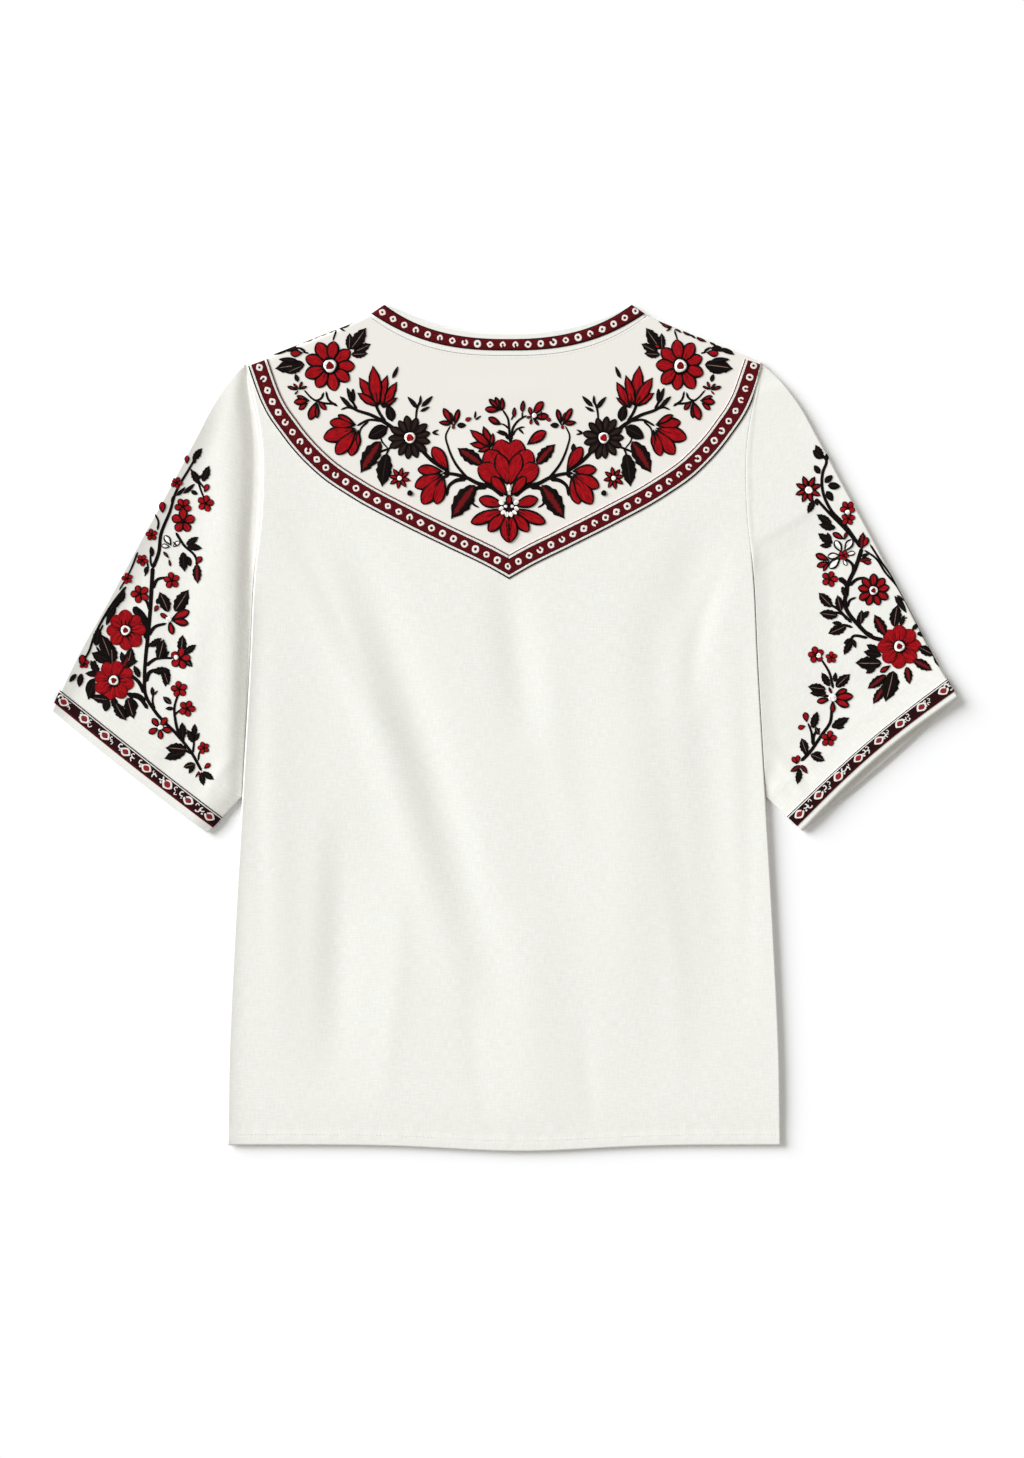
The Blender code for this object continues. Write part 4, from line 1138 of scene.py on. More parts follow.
class SleeveCloth:
    """A sleeve's outside as a grid, with what is needed to lay embroidery on it and round its fold."""

    def __init__(self, side):
        cuff = CUFFS[side]
        self.mirror = -1.0 if side == "left" else 1.0
        self.inner, self.outer, self.at = sleeve_lines(cuff, GRID)
        run = self.outer - self.inner
        self.direction = run / np.linalg.norm(run, axis=1)[:, None]
        rows = zip(self.inner, self.outer, self.at)
        creases = SLEEVE_CREASES[side]
        shape = (self.at[-1], cuff, FOLD_LIP[side], creases)
        self.grid = np.array([sleeve_row(a, b, at, *shape) for a, b, at in rows])
        steps = np.linalg.norm(np.diff(self.grid, axis=1), axis=2)
        self.arc = np.concatenate([np.zeros((len(steps), 1)), np.cumsum(steps, axis=1)], axis=1)
        down, across = np.gradient(self.grid, axis=0), np.gradient(self.grid, axis=1)
        normal = np.cross(down, across)
        self.normal = normal / np.linalg.norm(normal, axis=2)[..., None]

    def on_rows(self, row, arc, lift):
        """Points on the outside, at a fractional row and a distance from the seam, moved out."""
        low = np.clip(np.floor(row).astype(int), 0, len(self.grid) - 2)
        share = (row - low)[:, None]
        ends = []
        for index in (low, low + 1):
            columns = np.arange(self.arc.shape[1])
            place = np.array([np.interp(a, self.arc[i], columns) for a, i in zip(arc, index)])
            left = np.clip(place.astype(int), 0, self.arc.shape[1] - 2)
            part = (place - left)[:, None]
            point = (1 - part) * self.grid[index, left] + part * self.grid[index, left + 1]
            normal = (1 - part) * self.normal[index, left] + part * self.normal[index, left + 1]
            ends.append(point + normal * lift[:, None])
        place = (1 - share) * ends[0] + share * ends[1]
        place[:, 2] = np.maximum(place[:, 2], FLOOR_CLEAR)
        return place

    def settle(self, x, y, lift):
        """Lays points that were drawn in plan on the sleeve, and past its edge round the fold."""
        shape = np.shape(x)
        plan = np.column_stack([np.ravel(x), np.ravel(y)])
        off = plan[:, None, :] - self.inner[None, :, :]
        ahead = off[..., 0] * self.direction[:, 1] - off[..., 1] * self.direction[:, 0]
        passed = np.clip(np.sum(ahead > 0, axis=1), 1, len(self.inner) - 1)
        rows = np.arange(len(plan))
        before, after = ahead[rows, passed - 1], ahead[rows, passed]
        share = np.clip(before / (before - after), 0, 1)
        row = passed - 1 + share
        index = np.stack([passed - 1, passed])
        reach = np.sum(off[rows, index] * self.direction[index], axis=2)
        arc = (1 - share) * reach[0] + share * reach[1]
        placed = self.on_rows(row, arc, np.broadcast_to(lift, shape).ravel())
        placed[:, 0] *= self.mirror
        return placed.reshape(*shape, 3)


class BackCloth:
    """The back panel and its neck band, as a surface to lay embroidery on."""

    @staticmethod
    def settle(x, y, lift):
        y = np.minimum(y, back_outline_y(x) - YOKE_END_GAP)
        return stack(x, y, back_height(x, y) + lift)


def srgb(code):
    """A hex colour such as #6E1218, as Blender's linear RGBA."""
    channels = [int(code[i : i + 2], 16) / 255 for i in (1, 3, 5)]
    return tuple(c / 12.92 if c <= 0.04045 else ((c + 0.055) / 1.055) ** 2.4 for c in channels) + (1.0,)


def add(tree, kind, inputs=None, **settings):
    """Adds a node with its settings, and sets or links its inputs."""
    node = tree.nodes.new(kind)
    for name, value in settings.items():
        setattr(node, name, value)
    for key, value in (inputs or {}).items():
        if isinstance(value, bpy.types.NodeSocket):
            tree.links.new(value, node.inputs[key])
        else:
            node.inputs[key].default_value = value
    return node


def new_material(name):
    material = bpy.data.materials.new(name)
    material.use_nodes = True
    tree = material.node_tree
    return material, tree, tree.nodes["Principled BSDF"]


def ranged(tree, value, low, high, to_low=0.0, to_high=1.0):
    """A value taken from one range to another, and kept inside it."""
    ends = {"From Min": low, "From Max": high, "To Min": to_low, "To Max": to_high}
    return add(tree, "ShaderNodeMapRange", {"Value": value, **ends}).outputs["Result"]


def mixed(tree, share, one, other):
    return add(tree, "ShaderNodeMix", {0: share, 6: one, 7: other}, data_type="RGBA").outputs[2]


def scaled(tree, colour, by):
    return add(tree, "ShaderNodeVectorMath", {0: colour, "Scale": by}, operation="SCALE").outputs[0]


def worked(tree, operation, *values):
    return add(tree, "ShaderNodeMath", dict(enumerate(values)), operation=operation).outputs[0]


def noise(tree, place, scale, **settings):
    inputs = {"Vector": place, "Scale": scale}
    inputs.update({key.capitalize(): value for key, value in settings.items()})
    return add(tree, "ShaderNodeTexNoise", inputs).outputs["Fac"]


def stretched(tree, place, scale):
    return add(tree, "ShaderNodeMapping", {"Vector": place, "Scale": scale}).outputs["Vector"]


def stored(tree, name, output):
    return add(tree, "ShaderNodeAttribute", attribute_name=name).outputs[output]


def dress_shader(tree, shader, tone, height, strength, depth, roughness, specular):
    """Gives the shader its colour, its uneven surface with a depth in millimetres, and its gloss."""
    tree.links.new(tone, shader.inputs["Base Color"])
    surface = {"Height": height, "Strength": strength, "Distance": depth * MM}
    tree.links.new(add(tree, "ShaderNodeBump", surface).outputs["Normal"], shader.inputs["Normal"])
    shader.inputs["Roughness"].default_value = roughness
    shader.inputs["Specular IOR Level"].default_value = specular


def linen_material(name, settings, yoke_tint):
    """Plain-weave linen: matt, off-white, with uneven threads that thicken here and there."""
    material, tree, shader = new_material(name)
    cut = add(tree, "ShaderNodeUVMap", uv_map="cut").outputs["UV"]
    # Threads lie 0.5 mm apart in such cloth; drawn 1 mm apart, as finer ones don't show.
    thread, slub = 1 / settings.thread_spacing, 1 / (settings.thread_spacing * 9)
    scales = ((thread, slub, 1.0), (slub, thread, 1.0))
    threads = (noise(tree, stretched(tree, cut, scale), 1.0, detail=2.0) for scale in scales)
    weave = worked(tree, "ADD", *threads)
    cloud = noise(tree, cut, 14.0, detail=3.0)
    tone = mixed(tree, ranged(tree, weave, 0.75, 1.25), srgb(LINEN_DARK), (*settings.colour, 1.0))
    tone = mixed(tree, ranged(tree, cloud, 0.35, 0.75, 0.0, 0.35), tone, srgb(LINEN_WARM))
    if yoke_tint:
        tone = mixed(tree, stored(tree, "yoke", "Fac"), tone, srgb(YOKE_GROUND))
    gloss = {"roughness": 0.88, "specular": 0.25}
    dress_shader(tree, shader, tone, weave, strength=0.35, depth=0.12, **gloss)
    shader.inputs["Sheen Weight"].default_value = 0.08
    return material


def satin_stitch_material(name, settings):
    """Embroidery cotton in satin stitch: fine parallel threads with a soft lustre, painted sheen along
    the strands, and a dark edge.
    """
    material, tree, shader = new_material(name)
    rims, cores = (
        add(tree, "ShaderNodeSeparateXYZ", {"Vector": stored(tree, field, "Vector")}).outputs
        for field in ("rim", "core")
    )
    # Strands: long along the thread and 0.9 mm apart, coarser than real ones so that they show. Their
    # lighter and darker streaks in the colour are partly uneven strands and partly painted sheen, where
    # satin thread would catch the light.
    place = stretched(tree, stored(tree, "lay", "Vector"), (0.16, 1.1, 1.0))
    strand_and_sheen = noise(tree, place, 1.0, detail=3.0, roughness=0.65)
    # Painted sheen: the thread's colour is scaled from half to 1.65 times by the strands.
    tone = scaled(tree, stored(tree, "thread", "Color"), ranged(tree, strand_and_sheen, 0.32, 0.68, 0.5, 1.65))
    # Veins run out from the base, and fade towards the tip.
    fray = worked(tree, "MULTIPLY_ADD", strand_and_sheen, 0.9, -0.45)
    near = worked(tree, "ADD", cores["X"], fray)
    tone = mixed(tree, ranged(tree, near, 0.28, 0.42, 1.0, 0.0), tone, stored(tree, "vein", "Color"))
    edge = worked(tree, "MINIMUM", rims["X"], rims["Y"])
    edge = worked(tree, "ADD", edge, worked(tree, "MULTIPLY_ADD", strand_and_sheen, 0.8, -0.4))
    outline = worked(tree, "MULTIPLY", ranged(tree, edge, 0.8, 1.15, 1.0, 0.0), cores["Y"])
    tone = mixed(tree, outline, tone, (*settings.black, 1.0))
    gloss = {"roughness": 0.75, "specular": 0.06}
    dress_shader(tree, shader, tone, strand_and_sheen, strength=0.6, depth=0.3, **gloss)
    return material


def ribbon_material(name, bands):
    """A woven ribbon: bands of colour along its length, with a ribbed, slightly glossy ground."""
    material, tree, shader = new_material(name)
    cut = add(tree, "ShaderNodeUVMap", uv_map="cut").outputs["UV"]
    across = add(tree, "ShaderNodeSeparateXYZ", {"Vector": cut}).outputs["Y"]
    half = bands[-1].to
    ramp = add(tree, "ShaderNodeValToRGB", {"Fac": ranged(tree, across, -half * MM, half * MM)})
    stops = ramp.color_ramp
    stops.interpolation = "CONSTANT"
    start = -half
    for number, band in enumerate(bands):
        place = (start + half) / (2 * half)
        stop = stops.elements[0] if number == 0 else stops.elements.new(place)
        stop.position = place
        stop.color = srgb(band.colour)
        start = band.to
    stops.elements.remove(stops.elements[-1])
    # The ground is a warp rib about 0.7 mm apart, with flecks where the weft shows.
    fleck = noise(tree, stretched(tree, cut, (1400.0, 700.0, 1.0)), 1.0, detail=1.0)
    tone = scaled(tree, ramp.outputs["Color"], ranged(tree, fleck, 0.35, 0.7, 0.62, 1.2))
    gloss = {"roughness": 0.8, "specular": 0.08}
    dress_shader(tree, shader, tone, fleck, strength=0.5, depth=0.2, **gloss)
    return material


def plain_thread_material(name, colour):
    """Twisted sewing cotton, in one colour, with the twist as a fine uneven bump."""
    material, tree, shader = new_material(name)
    twist = noise(tree, add(tree, "ShaderNodeTexCoord").outputs["Object"], 1500.0, detail=1.0)
    tone = scaled(tree, colour[:3], ranged(tree, twist, 0.3, 0.7, 0.82, 1.05))
    gloss = {"roughness": 0.7, "specular": 0.3}
    dress_shader(tree, shader, tone, twist, strength=0.4, depth=0.1, **gloss)
    return material


def grid_faces(rows, columns, first=0):
    """Corner numbers of the quads between the points of a grid."""
    i, j = np.meshgrid(np.arange(rows - 1), np.arange(columns - 1), indexing="ij")
    corner = (first + i * columns + j).ravel()
    return np.stack([corner, corner + 1, corner + columns + 1, corner + columns], axis=1)


def new_piece(name, points, faces, material):
    """A mesh object from points in millimetres, with its place in its mesh."""
    mesh = bpy.data.meshes.new(name)
    mesh.from_pydata((points.reshape(-1, 3) * MM).tolist(), [], faces.tolist())
    mesh.shade_smooth()
    mesh.materials.append(material)
    piece = bpy.data.objects.new(name, mesh)
    bpy.context.scene.collection.objects.link(piece)
    return piece


def set_cut_map(piece, cut):
    """Maps a piece made from a grid: each point's place on the flat cloth, in metres."""
    flat = cut.reshape(-1, 2) * MM
    corners = np.empty(len(piece.data.loops), dtype=np.int32)
    piece.data.loops.foreach_get("vertex_index", corners)
    layer = piece.data.uv_layers.new(name="cut")
    layer.data.foreach_set("uv", flat[corners].ravel())


def set_point_values(piece, name, kind, values):
    attribute = piece.data.attributes.new(name, kind, "POINT")
    field = {"FLOAT": "value", "FLOAT_VECTOR": "vector", "FLOAT_COLOR": "color"}[kind]
    attribute.data.foreach_set(field, np.ascontiguousarray(values, dtype=np.float32).ravel())


def thicken(piece, thickness, offset=-1.0):
    """Gives an open cloth surface its thickness, and makes the result plain mesh."""
    wall = piece.modifiers.new("wall", "SOLIDIFY")
    wall.thickness = thickness * MM
    wall.offset = offset
    bpy.context.view_layer.update()
    shaped = piece.evaluated_get(bpy.context.evaluated_depsgraph_get())
    mesh = bpy.data.meshes.new_from_object(shaped)
    piece.modifiers.remove(wall)
    old = piece.data
    piece.data = mesh
    bpy.data.meshes.remove(old)
    mesh.name = piece.name
    return piece


def cloth_piece(name, points, cut, material, thickness, offset=-1.0, yoke=None):
    piece = new_piece(name, points, grid_faces(*points.shape[:2]), material)
    set_cut_map(piece, cut)
    if yoke is not None:
        set_point_values(piece, "yoke", "FLOAT", yoke)
    return thicken(piece, thickness, offset)


def finish_piece(piece, slot, *nodes):
    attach(piece, "root")
    if nodes:
        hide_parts(*nodes)


def grid_area(points):
    """The area of a grid's cells, in square metres."""
    one, two = points[1:, 1:] - points[:-1, :-1], points[1:, :-1] - points[:-1, 1:]
    return float(np.linalg.norm(np.cross(one, two), axis=2).sum() / 2) * MM * MM


def shared_material(name, maker, *settings):
    """The material of this name, made the first time that it is asked for."""
    return bpy.data.materials.get(name) or maker(name, *settings)


def strip_size(points):
    """The width and the length of a strip of cloth, in millimetres, if it is laid straight."""
    length = lengths_along(points[points.shape[0] // 2])[-1]
    return grid_area(points) / MM / MM / length, length


def yoke_path(step):
    """The yoke ribbon's middle line, from the left shoulder over the point to the right one."""
    out = np.linspace(0, YOKE_LINE[-1].out, 600)
    half = np.column_stack([out, curve_through(YOKE_LINE, out)])
    along = lengths_along(half)
    even = np.linspace(0, along[-1], round(along[-1] / step) + 1)
    half = np.column_stack([np.interp(even, along, half[:, axis]) for axis in range(2)])
    line = np.vstack([half[:0:-1] * (-1, 1), half])
    line[:, 0] += YOKE_X + YOKE_POINT_SHIFT * (1 - np.abs(line[:, 0]) / YOKE_LINE[-1].out)
    return line


def mitred(line):
    """The sideways direction at each point of a line, longer where the line turns a corner."""
    run = np.diff(line, axis=0)
    run /= np.linalg.norm(run, axis=1)[:, None]
    before, after = np.vstack([run[:1], run]), np.vstack([run, run[-1:]])
    side = np.stack([-(before + after)[:, 1], (before + after)[:, 0]], axis=1)
    side /= np.linalg.norm(side, axis=1)[:, None]
    normal = np.stack([-after[:, 1], after[:, 0]], axis=1)
    return side / np.sum(side * normal, axis=1)[:, None]


def along_and_across(line, across):
    """The places on the flat ribbon that its points have: how far along, and how far across."""
    return stack(*np.meshgrid(lengths_along(line), across), 0.0)[..., :2]


def yoke_line_y(x):
    out = np.minimum(np.abs(np.asarray(x, float) - YOKE_X), YOKE_LINE[-1].out)
    return curve_through(YOKE_LINE, out)


def ring_mesh(name, ring):
    """One woven ring, a unit in radius, raised along its middle."""
    turn = np.radians(ring.start + np.linspace(0, ring.sweep, 15))[None, :]
    share = np.array((ring.hole, (1 + ring.hole) / 2, 1.0))[:, None]
    reach = np.abs(np.cos(turn)) ** ring.power + np.abs(np.sin(turn)) ** ring.power
    edge = 1 / reach ** (1 / ring.power)
    rise = np.array((0.0, 1.0, 0.0))[:, None] * np.ones_like(turn)
    x, y = share * edge * np.cos(turn) * ring.squash, share * edge * np.sin(turn)
    mesh = bpy.data.meshes.new(name)
    points = np.stack([x, y, rise * 0.1], axis=-1)[:, ::-1]
    mesh.from_pydata(points.reshape(-1, 3).tolist(), [], grid_faces(3, 15).tolist())
    mesh.shade_smooth()
    return bpy.data.objects.new(name, mesh)


def motif_tree():
    """Geometry nodes that set motifs along a line, each picked, turned and sized at random."""
    tree = bpy.data.node_groups.new("Motifs along a ribbon", "GeometryNodeTree")
    sockets = {
        "Line": "Geometry",
        "Motifs": "Collection",
        "Pitch": "Float",
        "Half size": "Float",
        "Turn": "Float",
        "Size variation": "Float",
        "Seed": "Int",
        "Material": "Material",
    }
    for socket, kind in sockets.items():
        tree.interface.new_socket(socket, in_out="INPUT", socket_type=f"NodeSocket{kind}")
    tree.interface.new_socket("Geometry", in_out="OUTPUT", socket_type="NodeSocketGeometry")
    given = add(tree, "NodeGroupInput").outputs
    spacing = {"Curve": given["Line"], "Length": given["Pitch"]}
    points = add(tree, "GeometryNodeCurveToPoints", spacing, mode="LENGTH").outputs["Points"]
    motifs = add(
        tree,
        "GeometryNodeCollectionInfo",
        {"Collection": given["Motifs"], "Separate Children": True, "Reset Children": True},
    ).outputs["Instances"]
    choice = {4: 0, 5: 97, 8: given["Seed"]}
    pick = add(tree, "FunctionNodeRandomValue", choice, data_type="INT").outputs[2]

    def drawn(low, high):
        limits = {2: low, 3: high, 8: given["Seed"]}
        return add(tree, "FunctionNodeRandomValue", limits, data_type="FLOAT").outputs[1]

    turn = drawn(worked(tree, "SUBTRACT", 0.0, given["Turn"]), given["Turn"])
    turned = add(tree, "ShaderNodeCombineXYZ", {"Z": turn}).outputs[0]
    small, large = (worked(tree, way, 1.0, given["Size variation"]) for way in ("SUBTRACT", "ADD"))
    scale = worked(tree, "MULTIPLY", drawn(small, large), given["Half size"])
    placed = add(
        tree,
        "GeometryNodeInstanceOnPoints",
        {
            "Points": points,
            "Instance": motifs,
            "Pick Instance": True,
            "Instance Index": pick,
            "Rotation": turned,
            "Scale": scale,
        },
    ).outputs["Instances"]
    real = add(tree, "GeometryNodeRealizeInstances", {"Geometry": placed}).outputs["Geometry"]
    dyed = add(tree, "GeometryNodeSetMaterial", {"Geometry": real, "Material": given["Material"]})
    add(tree, "NodeGroupOutput", {"Geometry": dyed.outputs["Geometry"]})
    return tree


def motif_run(name, run, length, material):
    """The motifs of one run along a flat ribbon, as a mesh whose x runs along and y across."""
    shapes = bpy.data.collections.new(name + " motifs")
    for number, ring in enumerate(run.rings):
        shapes.objects.link(ring_mesh(f"{name}_motif_{number}", ring))
    line = bpy.data.curves.new(name, "CURVE")
    line.dimensions = "3D"
    spline = line.splines.new("POLY")
    spline.points.add(1)
    spline.points[0].co = (run.start * MM, run.across * MM, 0.0, 1.0)
    spline.points[1].co = ((length - RUN_END) * MM, run.across * MM, 0.0, 1.0)
    holder = bpy.data.objects.new(name, line)
    bpy.context.scene.collection.objects.link(holder)
    tree = bpy.data.node_groups.get("Motifs along a ribbon") or motif_tree()
    nodes = holder.modifiers.new("motifs", "NODES")
    nodes.node_group = tree
    values = {
        "Motifs": shapes,
        "Pitch": run.pitch * MM,
        "Half size": run.half * MM,
        "Turn": math.radians(run.turn),
        "Size variation": run.jitter,
        "Seed": run.seed,
        "Material": material,
    }
    for socket in tree.interface.items_tree:
        if socket.in_out == "INPUT" and socket.name in values:
            nodes[socket.identifier] = values[socket.name]
    bpy.context.view_layer.update()
    shaped = holder.evaluated_get(bpy.context.evaluated_depsgraph_get())
    mesh = bpy.data.meshes.new_from_object(shaped)
    bpy.data.objects.remove(holder)
    for shape in list(shapes.objects):
        bpy.data.objects.remove(shape)
    bpy.data.collections.remove(shapes)
    return mesh


def ribbon_threads():
    return {
        True: shared_material("White ribbon cotton", plain_thread_material, srgb(THREAD_WHITE)),
        False: shared_material("Red ribbon cotton", plain_thread_material, srgb("#8E141A")),
    }


def sewing_thread():
    return {True: shared_material("Off-white sewing cotton", plain_thread_material, srgb(LINEN))}


def lay_motifs(name, runs, length, settle, threads, rise=MOTIF_RISE, slot="woven_ribbon"):
    """Lays all runs of motifs; settle takes places along and across, and heights above the cloth."""
    joined = bmesh.new()
    for number, run in enumerate(runs):
        mesh = motif_run(f"{name}_{number}", run, length, threads[run.white])
        points = np.empty(len(mesh.vertices) * 3, dtype=np.float32)
        mesh.vertices.foreach_get("co", points)
        flat = points.reshape(-1, 3).astype(float) / MM
        high = flat[:, 2] > 0.01 * run.half
        lift = MOTIF_BASE + MOTIF_PLY * number + rise * high
        placed = settle(flat[:, 0], flat[:, 1], lift)
        mesh.vertices.foreach_set("co", (placed * MM).astype(np.float32).ravel())
        mesh.update()
        first = len(joined.faces)
        joined.from_mesh(mesh)
        joined.faces.ensure_lookup_table()
        for face in joined.faces[first:]:
            face.material_index = 0 if run.white else 1
            face.smooth = True
        bpy.data.meshes.remove(mesh)
    whole = bpy.data.meshes.new(name)
    joined.to_mesh(whole)
    joined.free()
    for thread in threads.values():
        whole.materials.append(thread)
    piece = bpy.data.objects.new(name, whole)
    bpy.context.scene.collection.objects.link(piece)
    finish_piece(piece, slot)
    return piece


def beside_line(line, base=RIBBON_LIFT + RIBBON_THICK):
    """Returns the function that lays flat places along a line on the back, at base above its cloth."""
    side, along = mitred(line), lengths_along(line)

    def settle(u, v, lift):
        x, y = (
            np.interp(u, along, line[:, axis]) + v * np.interp(u, along, side[:, axis])
            for axis in range(2)
        )
        return stack(x, y, back_height(x, y) + base + lift)

    return settle


def round_cuff(cloth, up=CUFF_MARGIN + CUFF_TRIM_WIDTH / 2, base=RIBBON_LIFT + RIBBON_THICK):
    """Returns the function that lays flat places round a sleeve, at a distance up from its hem."""
    middle = cloth.at[-1] - up

    def settle(u, v, lift):
        row = np.interp(middle - v, cloth.at, np.arange(len(cloth.at)))
        placed = cloth.on_rows(row, u, base + lift)
        placed[:, 0] *= cloth.mirror
        return placed

    return settle


def colour_property(name, description, colour):
    look = {"subtype": "COLOR", "size": 3, "min": 0.0, "max": 1.0}
    return FloatVectorProperty(name=name, description=description, default=srgb(colour)[:3], **look)


def length_property(name, description, least, most, usual):
    limits = {"min": least, "max": most, "default": usual}
    return FloatProperty(name=name, description=description, subtype="DISTANCE", unit="LENGTH", **limits)


class BlouseLinen(bpy.types.PropertyGroup):
    """The cloth's look and thickness."""

    colour: colour_property("Linen", "Colour of the linen's lighter threads", LINEN)
    thickness: length_property(
        "Cloth thickness", "How thick the shells of cloth are", 0.0003, 0.0014, SHELL * MM
    )
    thread_spacing: length_property(
        "Thread spacing", "How far apart the visible threads of the weave lie", 0.0003, 0.003, 0.001
    )


class BlouseRibbons(bpy.types.PropertyGroup):
    """The woven ribbons."""

    thickness: length_property(
        "Ribbon thickness", "How thick the ribbons are", 0.0002, 0.001, RIBBON_THICK * MM
    )


class BlouseEmbroidery(bpy.types.PropertyGroup):
    """The satin stitch."""

    black: colour_property("Outline thread", "Colour of the thread round the petals", THREAD_BLACK)


class BlouseStage(bpy.types.PropertyGroup):
    """The light on the floor that the blouse lies on."""

    key_strength: FloatProperty(
        name="Key light",
        description="Strength of the soft light from the upper left",
        min=0.0,
        default=4.15,
    )
    ambient: FloatProperty(
        name="Ambient light",
        description="Strength of the even light from all round",
        min=0.0,
        default=0.45,
    )


def linen():
    return shared_material("Plain-weave linen", linen_material, bpy.context.scene.blouse_linen, False)


def yoke_linen():
    return shared_material("Linen of the back", linen_material, bpy.context.scene.blouse_linen, True)


class MakePanels(bpy.types.Operator):
    """Makes the back, the front under it and the neck's band"""

    bl_idname = "blouse.make_panels"
    bl_label = "Panels and neck band"

    def execute(self, context):
        wall = context.scene.blouse_linen.thickness / MM
        x, y = body_grid(GRID, band_seam_y)
        top = stack(x, y, back_height(x, y) + hem_step(x, y))
        inside = np.clip((y - yoke_line_y(x)) / 3.0, 0, 1)
        cut = stack(x, y, 0.0)[..., :2]
        back = cloth_piece("back_cloth", top, cut, yoke_linen(), wall, yoke=inside)
        finish_piece(back, "linen", "back_panel")
        np.ptp(y)
        grid_area(top)

        x, y = body_grid(FRONT_GRID, v_seam_y)
        lower = stack(x, y, WALL)
        front = cloth_piece("front_cloth", lower, lower[..., :2], linen(), WALL)
        finish_piece(front, "linen", "front_panel")
        np.ptp(y)
        grid_area(lower)

        out = np.linspace(-1, 1, 121)
        shares = shares_with_edges(21.0, 2.0, (0.0, 0.5, 1.1, 1.9, 2.8))
        x, y = neck_strip(out, band_seam_y, neck_edge_y, shares)
        strip = stack(x, y, back_height(x, y))
        band = cloth_piece("neck_band_cloth", strip, strip[..., :2], linen(), wall)
        finish_piece(band, "linen", "neck_band_back")
        strip_size(strip)
        grid_area(strip)

        x, y = neck_strip(out, v_seam_y, v_edge_y, np.linspace(0, 1, 9))
        strip = stack(x, y, WALL)
        facing = cloth_piece("v_band_cloth", strip, strip[..., :2], linen(), WALL)
        finish_piece(facing, "linen", "neck_band_front")
        strip_size(strip)
        grid_area(strip)
        return {"FINISHED"}


def sleeve_and_cuff(side, wall, ribbon_wall):
    """A sleeve's cloth and the ribbon round its cuff."""
    cloth = SleeveCloth(side)
    order = slice(None) if side == "left" else slice(None, None, -1)
    mirror = (cloth.mirror, 1.0, 1.0)
    points = (cloth.grid * mirror)[order]
    down = np.broadcast_to(cloth.at[:, None], cloth.arc.shape)
    cut = np.stack([cloth.arc, -down], axis=-1)[order]
    piece = cloth_piece(f"sleeve_cloth_{side}", points, cut, linen(), wall)
    finish_piece(piece, "linen", f"sleeve_{side}")
    grid_area(points)

    middle = cloth.at[-1] - CUFF_MARGIN - CUFF_TRIM_WIDTH / 2
    across = np.linspace(-0.5, 0.5, 7) * CUFF_TRIM_WIDTH
    row = np.interp(middle + across, cloth.at, np.arange(len(cloth.at)))
    low = np.floor(row).astype(int)
    share = (row - low)[:, None]
    arc = (1 - share) * cloth.arc[low] + share * cloth.arc[low + 1]
    rows = np.repeat(row, arc.shape[1])
    lift = np.full(arc.size, RIBBON_LIFT)
    strip = cloth.on_rows(rows, arc.ravel(), lift).reshape(*arc.shape, 3) * mirror
    cut = np.stack([arc, np.broadcast_to(-across[:, None], arc.shape)], axis=-1)
    material = shared_material("Cuff ribbon", ribbon_material, CUFF_BANDS)
    name = f"cuff_ribbon_{side}"
    ribbon = cloth_piece(name, strip[order], cut[order], material, ribbon_wall, 1.0)
    finish_piece(ribbon, "woven_ribbon", f"cuff_trim_{side}")
    grid_area(strip)
    length = arc.min(axis=0)[-1]
    lay_motifs(f"cuff_motifs_{side}", CUFF_RUNS, length, round_cuff(cloth), ribbon_threads())


class MakeSleeves(bpy.types.Operator):
    """Makes both sleeves with the ribbons round their cuffs"""

    bl_idname = "blouse.make_sleeves"
    bl_label = "Sleeves and cuffs"

    def execute(self, context):
        wall = context.scene.blouse_linen.thickness / MM
        ribbon_wall = context.scene.blouse_ribbons.thickness / MM
        for side in CUFFS:
            sleeve_and_cuff(side, wall, ribbon_wall)
        return {"FINISHED"}


